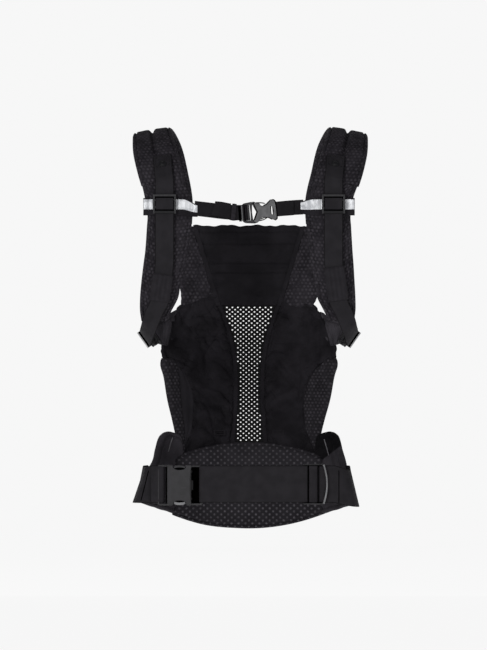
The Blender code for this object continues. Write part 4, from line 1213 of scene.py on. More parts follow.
def pad_stations(steps, side="left"):
    rows = through(shoulder_rows(side), steps)
    found = []
    for i, (x, y, z, half, drop) in enumerate(rows):
        ahead, behind = rows[min(i + 1, len(rows) - 1)], rows[max(i - 1, 0)]
        run = unit(ahead[:3] - behind[:3])
        across = vec(1, 0, -drop)
        across = unit(across - run * (across @ run))
        if y <= NEAR_Y + 1e-6:
            across, y = vec(1, 0, 0), NEAR_Y
        found.append((vec(x, y, z), across * half))
    return found


def side_axis():
    pull = unit(BUCKLE_END - WING_END)
    across = vec(SIDE_LEAN, 0, 1)
    across = unit(across - pull * (across @ pull))
    return pull, across, unit(np.cross(across, pull))


def strap_stations():
    """Webbing from its anchor on the pad, down and through the keeper to the side buckle."""
    pad = pad_stations(6)
    crest = max(range(len(pad)), key=lambda i: pad[i][0][2])
    upper = [(c, a) for i, (c, a) in enumerate(pad) if i > crest and 0.4375 > c[2] > 0.406]
    least, most = PAD_THICK / 2 + GAP + WEB_THICK / 2, PAD_THICK / 2 + STAND_OFF
    found = []
    for k, (c, a) in enumerate(upper):
        run = upper[min(k + 1, len(upper) - 1)][0] - upper[max(k - 1, 0)][0]
        way = unit(np.cross(run, a))
        f = k / len(upper)
        c = c + way * (least + 0.0006 + (most - least) * f)
        a = unit(a)
        x = 0.1168 + (STRAP_X - 0.1168) * f
        found.append((c + a * (x - c[0]), a * STRAP_WEB / 2))
    flat = vec(STRAP_WEB / 2, 0, 0)
    found += [(vec(STRAP_X, WEB_Y, z), flat) for z in (0.404, 0.350, 0.300)]
    run = unit(KEEPER_LOW - KEEPER_HIGH)
    lean = vec(-run[2], 0, run[0]) * STRAP_WEB / 2
    found += [(KEEPER_HIGH, lean), (KEEPER_LOW, lean)]
    pull, across, normal = side_axis()
    half = across * STRAP_WEB / 2
    bar = WING_END + pull * (SIDE_MOUTH + bar_reach(SIDE_SPEC)[1])

    def between(f):
        return lean + (half - lean) * f

    found += [(vec(0.1275, WEB_Y, 0.2300), between(0.2)),
              (vec(0.1332, WEB_Y + 0.0015, 0.2150), between(0.5)),
              (vec(0.1366, WEB_Y + 0.0120, 0.2045), between(0.8)),
              (bar + pull * 0.020 + normal * 0.0010, half)]
    return found + round_bar(bar, -pull, normal, half, 0.012)


def make_shoulder_straps():
    web = strap_stations()
    for side, sign in SIDES:
        stations = pad_stations(8, side)
        middle = np.array([c for c, _ in stations])
        across = np.array([a for _, a in stations])
        run = travel(middle) / travel(middle)[-1]
        wide = np.linalg.norm(across, axis=1)

        def lobes(s, t):
            half = np.interp(t, run, wide)
            y = np.interp(t, run, middle[:, 1])
            x = (s - 0.5) * 2 * half
            over = 1 - ramp(-y, 0.066, 0.086)
            groove = 0.85 * bell(x, 0.0030) * over
            seam = 0.40 * bell(half - np.abs(x) - 0.0050, 0.0011)
            return (1 - groove) * (1 - seam) * (1 + 0.15 * over)

        def swell(s, t, k=sign):
            return 0.0005 * np.sin(t * 60 + k) * np.sin(s * 6 + k)

        obj, soft = pillow(f"shoulder_padding_{side}", lane(middle, across), 0.0112, FINE, sign,
                           (60, 220), 0.0050, puff=lobes, ruffle=swell)
        settle(obj, "harness", f"shoulder_pad_{side}", slot="spacer_mesh", fill=0.75)
        along = np.linspace(0.01, 0.985, 460)
        inset = 0.0050 / (2 * np.interp(along, run, wide))
        stitches(f"shoulder_stitching_{side}",
                 [soft.at(f, along, 0.0001, face) for f in (inset, 1 - inset)
                  for face in ("front", "back")], "harness")
        track = web if sign > 0 else mirrored(web)
        obj, tape = ribbon(f"shoulder_strap_{side}", track, sway=0.00015, seed=3 + sign)
        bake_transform(obj)
        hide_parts(f"shoulder_webbing_{side}")
        stitches(f"shoulder_anchor_stitching_{side}", box_stitch(tape, 0.12, 0.88, 0.008, 0.060),
                 "harness")
        make_anchor(side, tape)


def make_anchor(side, tape):
    """The domed snap on the sewn end of the webbing."""
    centre, way = tape.at(0.5, 0.048, 0.0004)
    way = unit(way)
    right = unit(np.cross(way, (0, 0, 1)))
    up = np.cross(right, way)
    profile = through(((0.0050, 0.0), (0.0049, 0.0006), (0.0040, 0.0010), (0.0034, 0.0009),
                       (0.0030, 0.0013), (0.0018, 0.0019), (0.0001, 0.0021)), 3)
    turn = np.linspace(0, 2 * np.pi, 28, endpoint=False)
    rings = [centre + right * r * np.cos(a) + up * r * np.sin(a) + way * h
             for r, h in profile for a in turn]
    settle(mesh_object(f"strap_snap_{side}", rings, ring_faces(len(profile), len(turn)),
                       ACETAL_DARK_AND_SHADE), "harness")


# ---------------------------------------------------------------- side wings
def make_side_wings():
    """Gathered cloth from the panel's edge to the side buckle, hemmed along its top."""
    pull, across, normal = side_axis()
    reach = across * (STRAP_WEB / 2 + 0.002)
    for side, sign in SIDES:
        sink = (0, 0, -0.0042 if side == "right" else 0)
        root = [panel_point(x, z, -0.0062) for x, z in
                ((0.0760, 0.2430), (0.0870, 0.2395), (0.0800, 0.1870), (0.0950, 0.1860))]
        upper = through([root[0] + sink, root[1] + sink, vec(0.1010, 0.0880, 0.2330) + sink,
                         vec(0.1160, 0.0540, 0.2240) + np.multiply(sink, 0.6),
                         WING_END + reach], 8)
        lower = through([root[2], root[3], vec(0.1100, 0.0840, 0.1855), vec(0.1200, 0.0520, 0.1875),
                         WING_END - reach], 8)
        middle, width = (upper + lower) / 2, (upper - lower) / 2

        def pleats(s, t, k=sign):
            depth = 0.0024 * ramp(s, 0.16, 0.34) * (1 - 0.6 * ramp(t, 0.45, 0.9)) * ramp(t, 0.20, 0.32)
            fold = np.sin(2 * np.pi * (t * 11 + 0.22 * np.sin(s * 4 + k) + 0.1 * k))
            hem = 0.0011 * bell((s - 0.17) * 0.05, 0.0012)
            return depth * fold - hem

        obj, soft = pillow(f"side_wing_cloth_{side}", lane(middle, width), 0.0018, GATHER, sign,
                           (70, 130), 0.0010, ruffle=pleats)
        settle(obj, "harness", f"side_wing_{side}", slot="smooth_fabric", fill=0.1)
        along = np.linspace(0.02, 0.97, 160)
        stitches(f"side_wing_stitching_{side}",
                 [soft.at(s, along, 0.0001) for s in (0.04, 0.15, 0.96)], "harness")
        bar = WING_END + pull * (SIDE_MOUTH - bar_reach(SIDE_SPEC)[0])
        half = -across * STRAP_WEB / 2
        stations = [(WING_END + pull * GAP, half), *round_bar(bar, pull, -normal, half, 0.006)]
        obj, _ = ribbon(f"side_strap_{side}", stations if sign > 0 else mirrored(stations))
        settle(obj, "harness", f"side_webbing_{side}", slot="webbing")


# ---------------------------------------------------------------- chest strap
BAND_Y = NEAR_Y - PAD_THICK / 2 - 0.0010
CHEST_MOUTH = vec(0.0030, -0.1028, CHEST_Z - 0.0040)
CHEST_PULL = unit(vec(-1, 0, -0.10))
CHEST_WEB_Y = CHEST_MOUTH[1]
CHEST_TAIL_Y = CHEST_WEB_Y - WEB_THICK - 2 * GAP


def make_chest_strap():
    to_socket, to_plug = bar_reach(CHEST_SPEC)
    inward = vec(0, 1, 0)
    width = vec(CHEST_PULL[2], 0, -CHEST_PULL[0]) * CHEST_WEB / 2
    bar = CHEST_MOUTH - CHEST_PULL * to_socket
    down = vec(0, 0, -CHEST_WEB / 2)
    right = [(vec(0.0728, CHEST_WEB_Y, 0.3722), down), (vec(0.056, CHEST_WEB_Y, 0.3712), down)]
    right += round_bar(bar, CHEST_PULL, inward, -width, 0.003)
    right += [(vec(0.052, CHEST_TAIL_Y, 0.3706), down), (vec(0.060, CHEST_TAIL_Y, 0.3712), down)]
    obj, _ = ribbon("chest_strap_right", right, WEB_SLIM, sway=0.00008, seed=6)
    settle(obj, "chest_strap", "chest_webbing_right", slot="webbing")
    bar = CHEST_MOUTH + CHEST_PULL * to_plug
    lean = unit(vec(-0.10, 0, -1)) * CHEST_WEB / 2
    left = [(vec(-0.0728, CHEST_WEB_Y, 0.3705), down), (vec(-0.0600, CHEST_WEB_Y, 0.3690), lean),
            (vec(-0.0180, CHEST_WEB_Y, 0.3650), lean)]
    left += round_bar(bar, -CHEST_PULL, inward, -width, 0.003)
    left += [(vec(-0.0180, CHEST_TAIL_Y, 0.3640), lean), (vec(-0.0245, CHEST_TAIL_Y, 0.3645), lean)]
    obj, _ = ribbon("chest_strap_left", left, WEB_SLIM, sway=0.00008, seed=7)
    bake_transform(obj)
    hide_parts("chest_webbing_left")
    tail = unit(vec(0.30, 0, 1)) * CHEST_WEB / 2 * 1.06
    loose = [(vec(-0.0482, CHEST_TAIL_Y + 0.0004, 0.3698), -tail),
             (vec(-0.0400, CHEST_TAIL_Y - 0.0006, 0.3688), -unit(vec(0.18, 0, 1)) * 0.0108),
             (vec(-0.0245, CHEST_TAIL_Y - 0.0002, 0.3658), -unit(vec(0.04, 0, 1)) * 0.0110)]
    obj, _ = ribbon("chest_strap_tail", loose, WEB_SLIM, thick=0.0012, seed=8)
    settle(obj, "chest_plug_body", slot="webbing")
    place = vec(-0.0205, (CHEST_WEB_Y + CHEST_TAIL_Y) / 2, 0.3653)
    keeper("chest_elastic", place, 0.0060, CHEST_WEB, 2 * WEB_THICK + 2 * GAP, 0.096,
           "chest_keeper_body", "chest_keeper")
    for side, sign in SIDES:
        make_chest_band(side, sign)
        make_slider(side, sign)


def chest_droop(x):
    """How far the chest band hangs at x; only its left end sags."""
    return -0.0052 * ramp(np.asarray(x, float), -0.0900, -0.0690)


def make_chest_band(side, sign):
    def strip(low, high, y, inner, outer):
        def surface(s, t):
            x = inner + (outer - inner) * s
            narrow = 1 - 0.28 * (1 - ramp(x, 0.069, 0.086))
            z = 0.3726 + (low + (high - low) * t) * narrow
            drop = chest_droop(-x) if side == "left" else -0.0012 * (1 - ramp(x, 0.069, 0.090))
            return np.stack([x, np.full_like(x, y), z + drop], -1)
        return surface

    def waves(s, t):
        return 0.00030 * np.sin(s * 26 + 1) + 0.0002 * np.sin(s * 61)

    obj, _ = pillow(f"chest_band_cloth_{side}", strip(-0.0117, 0.0117, BAND_Y, 0.0690, 0.1420),
                    0.0009, CLOTH, sign, (60, 14), 0.0006, ruffle=waves)
    settle(obj, "chest_strap", f"chest_band_{side}", slot="smooth_fabric")
    obj, _ = pillow(f"silver_tape_{side}", strip(-0.0036, 0.0099, BAND_Y - 0.0010, 0.0692, 0.1416),
                       0.0003, TAPE, sign, (70, 8), 0.0002, ruffle=waves, edge=0.0001)
    settle(obj, "chest_strap", f"reflective_tape_{side}", slot="reflective_tape")


def stroke(points, width):
    """A closed outline round an open line of (x, z) points."""
    points = np.array(points, float)
    run = unit(np.gradient(points, axis=0))
    aside = np.stack([-run[:, 1], run[:, 0]], -1) * width / 2
    return [tuple(p) for p in np.concatenate([points + aside, (points - aside)[::-1]])]


def slab(name, outline, holes, y0, y1, finish, bevel=0.0006):
    """A flat plate from an outline and holes in x and z, thick from y0 to y1, edges rounded."""
    curve = bpy.data.curves.new(name, "CURVE")
    curve.dimensions = "2D"
    curve.fill_mode = "BOTH"
    curve.extrude = (y1 - y0) / 2 - bevel
    curve.bevel_depth = bevel
    curve.bevel_resolution = 2
    curve.offset = -bevel
    for loop in (outline, *holes):
        spline = curve.splines.new("POLY")
        spline.points.add(len(loop) - 1)
        for point, (x, z) in zip(spline.points, loop):
            point.co = (x, z, 0.0, 1.0)
        spline.use_cyclic_u = True
    obj = shown(name, curve)
    curve.materials.append(finish)
    obj.matrix_world = Matrix.Translation((0, (y0 + y1) / 2, 0)) @ Matrix.Rotation(
        math.pi / 2, 4, "X")
    bpy.context.view_layer.update()
    return obj


def rect(x0, z0, x1, z1):
    """A rectangle's corners from (x0, z0), along z first."""
    return [(x0, z0), (x0, z1), (x1, z1), (x1, z0)]


def rounded(corners, radius=0.001, steps=5):
    """An outline with its corners rounded; a corner may carry its own radius."""
    found = []
    count = len(corners)
    for i in range(count):
        a, b, c = (np.array(corners[(i + k) % count][:2], float) for k in (-1, 0, 1))
        r = corners[i][2] if len(corners[i]) > 2 else radius
        to_a, to_c = a - b, c - b
        reach_a, reach_c = np.linalg.norm(to_a), np.linalg.norm(to_c)
        cut = min(r, 0.45 * reach_a, 0.45 * reach_c)
        p, q = b + to_a / reach_a * cut, b + to_c / reach_c * cut
        for t in np.linspace(0, 1, steps):
            found.append((1 - t) ** 2 * p + 2 * t * (1 - t) * b + t * t * q)
    return [tuple(p) for p in found]


def frame_of(origin, x_axis, y_axis):
    """Matrix with local x and y along the given axes."""
    x, y = Vector(x_axis).normalized(), Vector(y_axis).normalized()
    turn = Matrix((x, y, x.cross(y))).transposed().to_4x4()
    turn.translation = Vector(origin)
    return turn


def assemble(name, parts, pose, body, *nodes):
    """One moulded piece from its slabs, placed by pose."""
    obj = joined(name, *parts)
    obj.data.transform(pose)
    smoothed(obj.data)
    obj.data.set_sharp_from_angle(angle=math.radians(40))
    return settle(obj, body, *nodes, slot="acetal")


def keeper(name, centre, length, web, layers, turn, body, node):
    """An elastic loop of rounded-off rectangular section round the webbing."""
    wall, power, count, rows = 0.0008, 0.28, 24, 13
    half_w, half_t = web / 2 + 0.0004, layers / 2 + 0.0004
    angles = [2 * math.pi * k / count for k in range(count)]
    ring = [[math.copysign(abs(c) ** power, c) for c in (math.cos(a), math.sin(a))] for a in angles]
    points, uv = [], []
    for layer, grow in ((0, wall), (1, 0.0)):
        for i in range(rows):
            x = length * (i / (rows - 1) - 0.5)
            swell = 0.0003 * math.sin(math.pi * i / (rows - 1)) if layer == 0 else 0
            for k, (c, s) in enumerate(ring):
                points.append((x, s * (half_t + grow + swell), c * (half_w + grow + swell)))
                uv.append((k / count * 2 * web, x))
    faces = ring_faces(rows, count)
    size, last = rows * count, (rows - 1) * count
    faces += [tuple(size + k for k in face[::-1]) for face in faces]
    for k, m in pairs(count):
        faces += [(m, k, k + size, m + size),
                  (last + k, last + m, last + m + size, last + k + size)]
    turned = np.array(points) @ np.array(Matrix.Rotation(turn, 3, "Y")).T + centre
    obj = mesh_object(name, turned, faces, ELASTIC, uv=np.array(uv))
    return settle(obj, body, node, slot="elastic")


def make_strap_keepers():
    run = unit(KEEPER_LOW - KEEPER_HIGH)
    angle = math.atan2(-run[2], run[0])
    for side, sign, centre, length in (("left", -1, 0.2635, 0.0370), ("right", 1, 0.2690, 0.0460)):
        place = KEEPER_HIGH + run * ((KEEPER_HIGH[2] - centre) / -run[2])
        keeper(f"strap_elastic_{side}", place * (sign, 1, 1), length, STRAP_WEB, WEB_THICK,
               angle if sign > 0 else math.pi - angle, f"strap_keeper_{side}_body",
               f"strap_keeper_{side}")


def make_slider(side, sign):
    """Slider on the shoulder webbing: slim rails, a top bar in the plain acetal, a low bar made darker as
    painted shade, and near-black painted shadow in its slots.
    """
    rail, height = 0.0026, 0.0262
    open_x = STRAP_WEB / 2 + GAP
    half = open_x + rail
    slot = WEB_THICK + 2 * GAP
    parts = []
    for x in (-1, 1):
        edge = [(x * (open_x + 0.0001), -height / 2, 0.001), (x * half, -height / 2, 0.0018),
                (x * half, height / 2, 0.0018), (x * (open_x + 0.0001), height / 2, 0.001)]
        parts.append(slab("rail", rounded(edge[::x]), (), -slot / 2 - 0.0017, slot / 2 + 0.0011,
                          ACETAL, 0.0006))
    # The low bar takes the darker acetal as painted shade; the top bar keeps the plain acetal.
    for z, wide, finish, proud in ((1, 0.0032, ACETAL, 0.0021), (-1, 0.0040, ACETAL_DARK_AND_SHADE, 0.0017)):
        low, high = sorted((z * height / 2, z * (height / 2 - wide)))
        bar = rect(open_x + 0.001, low, -open_x - 0.001, high)
        parts.append(slab("bar", rounded(bar, 0.0005), (), -slot / 2 - proud, -slot / 2 - 0.0001,
                          finish, 0.0007))
    # Painted shadow: near-black strips just inside the bars, where the slots lie in shade.
    for z in (0.0090, -0.0084):
        shadow_slit = rect(open_x, z - 0.0009, -open_x, z + 0.0009)
        parts.append(slab("shadow_slit", rounded(shadow_slit, 0.0003), (), -slot / 2 - 0.0002, -slot / 2 + 0.0003,
                          SHADOW, 0.0001))
    bar = rect(open_x + 0.001, -0.0040, -open_x - 0.001, 0.0040)
    parts.append(slab("back", rounded(bar, 0.0005), (), slot / 2 + 0.0001, slot / 2 + 0.0011,
                      ACETAL_DARK_AND_SHADE, 0.0004))
    pose = Matrix.Translation((sign * STRAP_X, WEB_Y, 0.3764))
    assemble(f"chest_slide_{side}", parts, pose, "chest_strap", f"chest_slider_{side}")


def make_waist_adjuster():
    """Tri-glide: two rails, a curved outer bar made pale as a painted highlight, bars hidden under the
    webbing, and near-black painted shadow in and behind its slots.
    """
    layers = 2 * WEB_THICK + 2 * GAP
    slot = layers + 2 * GAP
    half_z, rail = WAIST_WEB / 2 + GAP, 0.0018
    parts = []
    for z in (-1, 1):
        edge = [(-0.0170, z * (half_z + 0.0001)), (0.0120, z * (half_z + 0.0001)),
                (0.0105, z * (half_z + rail), 0.003), (-0.0160, z * (half_z + rail), 0.002)]
        parts.append(slab("rail", rounded(edge[::z]), (), -slot / 2 - 0.0021, slot / 2 + 0.0013,
                          ACETAL, 0.0007))
    # Painted highlight: the curved outer bar takes the pale acetal.
    k = np.linspace(-1, 1, 15)
    bow = 0.0162 - 0.0046 * k ** 2
    outer = [(x + 0.0002, z * (half_z + 0.0012)) for x, z in zip(bow, k)]
    inner = [(x - 0.0019, z * (half_z + 0.0004)) for x, z in zip(bow, k)]
    parts.append(slab("bow", inner[::-1] + outer, (), -slot / 2 - 0.0027, -slot / 2 - 0.0001,
                      ACETAL_HIGHLIGHT, 0.0009))
    for x, wide in ((-0.0150, 0.0030), (-0.0033, 0.0040)):
        bar = rect(x + wide / 2, -half_z - 0.001, x - wide / 2, half_z + 0.001)
        front = -slot / 2 - 0.0008 if x > -0.01 else -slot / 2 + 0.0022
        parts.append(slab("bar", rounded(bar, 0.0006), (), front, front + 0.0012, ACETAL_DARK_AND_SHADE,
                          0.0004))
    # Painted shadow: a near-black plate behind the slots.
    back = rect(0.0125, -half_z - 0.0005, -0.0140, half_z + 0.0005)
    parts.append(slab("back", rounded(back, 0.0006), (), slot / 2 - 0.0012, slot / 2 + 0.0013,
                      SHADOW, 0.0004))
    # Painted shadow: near-black strips where the slots lie in shade.
    for x, wide in ((-0.0098, 0.0022), (0.0030, 0.0020)):
        shadow_slit = rect(x + wide / 2, -half_z, x - wide / 2, half_z)
        parts.append(slab("shadow_slit", rounded(shadow_slit, 0.0003), (), -slot / 2 - 0.0004, -slot / 2 + 0.0002,
                          SHADOW, 0.0001))
    pose = Matrix.Translation((0.0895, (NEAR_Y + LOOP_Y) / 2, 0))
    assemble("waist_slide", parts, pose, "waist_adjuster_body", "waist_adjuster")


def make_seat_tabs():
    """Small slotted tabs; only their two dark slots stand out from the cloth."""
    slope = -2 * float(fall_at(0.071)) * 0.040 / 0.01
    for side, sign in SIDES:
        place = panel_point(sign * 0.0400, 0.071, 0.0067)
        edge = rect(0.0085, -0.0037, -0.0085, 0.0037)
        slots = [rounded(rect(-0.0062, z, 0.0062, z + 0.0012), 0.0004) for z in (0.0004, -0.0020)]
        part = slab("tab", rounded(edge, 0.0015), slots, -0.0014, 0.0014, TAB, 0.0003)
        pose = Matrix.Translation(Vector(place)) @ Matrix.Rotation(math.atan(slope) * sign, 4, "Z")
        assemble(f"seat_tab_{side}", [part], pose, f"seat_adjuster_{side}_body",
                 f"seat_adjuster_{side}")


# ---------------------------------------------------------------- buckles
def buckle(prefix, spec, pose):
    """Side-release buckle. Locally the plug pulls out along +X and the outer face is -Y."""
    web, housing, bar_frame, base, thick, notch = spec
    big, finish = prefix == "waist", ACETAL
    half, wall = web / 2 + (0.0021 if big else 0.0030), 0.0020
    arm_out = half - notch + 0.0020
    root_out = arm_out - 0.0003
    inner = root_out - (0.0018 + web * 0.045)
    back = -housing - bar_frame
    bite, reach = -0.49 * housing, 0.29 * housing
    deep = notch * 0.82
    curve = [(x, half - deep * math.sqrt(max(0.0, 1 - abs((x - bite) / reach) ** 2.6)))
             for x in bite + reach * np.cos(np.linspace(0, math.pi, 17))]
    upper = [(-0.0008, half - 0.004, 0.002), (-0.0002, half, 0.0022)]
    upper += [(x, z, 0.0004) for x, z in curve] + [(-housing + 0.0004, half, 0.0012)]
    lower = [(x, -z, r) for x, z, r in upper[::-1]]
    mouth = [(-0.0022, -half * 0.4, 0.004), (-0.0022, half * 0.4, 0.004)]
    outline = rounded(upper + lower + mouth, 0.001, 3)
    parts = []
    for y0, y1 in ((-thick / 2, -thick / 2 + wall), (thick / 2 - wall, thick / 2)):
        parts.append(slab("plate", outline, (), y0, y1, finish, 0.0007))
    for z in (-1, 1):
        for x0, x1 in ((-0.0030, -0.20 * housing), (-0.80 * housing, -housing)):
            edge = rect(x0, z * (half - 0.0036), x1, z * (half - 0.0008))
            parts.append(slab("side", rounded(edge[::z], 0.0005), (), -thick / 2 + 0.0008,
                              thick / 2 - 0.0008, finish, 0.0004))
    edge = rect(-housing + 0.0035, -half + 0.001, -housing, half - 0.001)
    parts.append(slab("root", rounded(edge, 0.0005), (), -thick / 2 + 0.0008, thick / 2 - 0.0008,
                      finish, 0.0004))
    # Painted shadow: a near-black plate inside the housing, seen round the arms in the notches.
    inside = rect(-0.0050, -half + 0.0030, -housing + 0.0030, half - 0.0030)
    parts.append(slab("inside", rounded(inside, 0.0005), (), -thick / 2 + wall - 0.0004,
                      -thick / 2 + wall + 0.0006, SHADOW, 0.0002))
    ring = [(-housing + 0.001, half, 0.001), (back - 0.0012, half, 0.0028),
            (back - 0.0012, -half, 0.0028), (-housing + 0.001, -half, 0.001)]
    hole = rect(-housing - 0.0002, web / 2 - 0.0002, back + 0.0010, -web / 2 + 0.0002)
    parts.append(slab("frame", rounded(ring), (rounded(hole, 0.0010),), -BAR / 2 - 0.0026,
                      BAR / 2 - 0.0001, finish, 0.0008))
    # Painted shadow: a near-black strip in the frame's slot.
    shadow_slit = rect(-housing - 0.0001, -web / 2, -housing - 0.0021, web / 2)
    parts.append(slab("slot", rounded(shadow_slit, 0.0004), (), -BAR / 2 - 0.0022, BAR / 2 - 0.0004,
                      SHADOW, 0.0003))
    assemble(f"{prefix}_buckle_socket", parts, pose, "harness", f"{prefix}_socket")

    flat = thick / 2 - 0.0016
    parts = []
    ring = [(-0.0030, -half + 0.0006, 0.0012), (base - 0.001, -half + 0.0002, 0.0034),
            (base - 0.001, half - 0.0002, 0.0034), (-0.0030, half - 0.0006, 0.0012)]
    eye = rect(-0.0006, -web / 2 + 0.0008, base - BAR, web / 2 - 0.0008)
    parts.append(slab("base", rounded(ring), (rounded(eye, 0.0012),), -BAR / 2 - 0.0012,
                      BAR / 2 + 0.0006, finish, 0.0009))
    # Painted shadow: a near-black plate behind the plug's eye.
    pit = rect(-0.0020, -web / 2 + 0.0002, base - BAR * 0.9, web / 2 - 0.0002)
    parts.append(slab("pit", rounded(pit, 0.0006), (), BAR / 2 - 0.0016, BAR / 2 - 0.0002, SHADOW,
                      0.0002))
    # The tongue takes the darker acetal as painted shade, so it reads as a dark gap in the mouth.
    tongue = [(0.002, -web * 0.13), (0.002, web * 0.13), (-housing + 0.0075, web * 0.12, 0.002),
              (-housing + 0.0075, -web * 0.12, 0.002)]
    parts.append(slab("tongue", rounded(tongue, 0.0006), (), -flat + 0.0030, flat - 0.0010,
                      ACETAL_DARK_AND_SHADE, 0.0004))
    # On the side plugs: a pale strip as a painted highlight along the lit edge, and a near-black strip of
    # painted shadow behind it.
    if prefix.startswith("side"):
        reach_in, reach_out = bar_reach(spec)[1] - 0.0010, bar_reach(spec)[1] + 0.0100
        edge = rect(reach_out, -web / 2, reach_in, web / 2)
        for y, deep, tone in ((-0.0076, 0.0017, ACETAL_EDGE_HIGHLIGHT), (-0.0058, 0.0012, SHADOW)):
            parts.append(slab("edge", rounded(edge, 0.0006), (), y, y + deep, tone, 0.0003))
    assemble(f"{prefix}_buckle_plug", parts, pose, f"{prefix}_plug_body", f"{prefix}_plug")

    tip = 0.0015 - (housing - 0.0065)
    words = ("upper", "lower") if pose.col[2].z > 0 else ("lower", "upper")
    for word, sign in zip(words, (1, -1)):
        arm = [(0.0008, inner), (tip * 0.55, inner + 0.0010, 0.003), (tip + 0.001, inner + 0.0012),
               (tip, inner + 0.0020), (bite - reach * 0.96, arm_out - 0.0014, 0.001),
               (bite - reach * 0.74, half - 0.0014, 0.0018), (bite + reach * 0.74, half - 0.0014, 0.0018),
               (bite + reach * 0.96, root_out - 0.001, 0.001), (0.0008, root_out - 0.001)]
        arm = [(x, sign * z, *r) for x, z, *r in arm]
        # The waist buckle's arms take the darker acetal as painted shade, dark inside the notches; the
        # side buckles' arms keep the plain acetal.
        pieces = [slab("arm", rounded(arm[::-sign], 0.0006), (), -flat + (0.0026 if big else -0.0002),
                       flat - 0.0002, ACETAL_DARK_AND_SHADE if big else finish, 0.0006)]
        if big:
            k = np.linspace(-0.80, 0.80, 9)
            brow = [(bite + reach * a, sign * (half - 0.0004 - 0.0034 * abs(a) ** 3)) for a in k]
            base_line = [(x, z - sign * (0.0030 if sign > 0 else 0.0036)) for x, z in brow[::-1]]
            rim = (brow + base_line)[::sign]
            # The lower arm's rim takes the pale acetal as a painted highlight; the upper one keeps the
            # plain acetal.
            pieces.append(slab("rim", rounded(rim, 0.0003), (), -flat - 0.0002, -flat + 0.0030,
                               finish if pose.to_3x3().col[2].z * sign > 0 else ACETAL_HIGHLIGHT, 0.0005))
        else:
            # Painted shadow: a near-black groove across the side buckles' arms.
            groove = [(bite + reach * a, sign * (half - b)) for a, b in
                      ((-0.62, 0.0040), (0.62, 0.0040), (0.66, 0.0029), (-0.66, 0.0029))]
            pieces.append(slab("groove", rounded(groove[::sign], 0.0004), (), -flat - 0.0006,
                               -flat + 0.0004, SHADOW, 0.0002))
        assemble(f"{prefix}_buckle_arm_{word}", pieces, pose, f"{prefix}_release_{word}_arm",
                 f"{prefix}_release_{word}")


def mm(rows):
    return [tuple(value / 1000 for value in row) for row in rows]


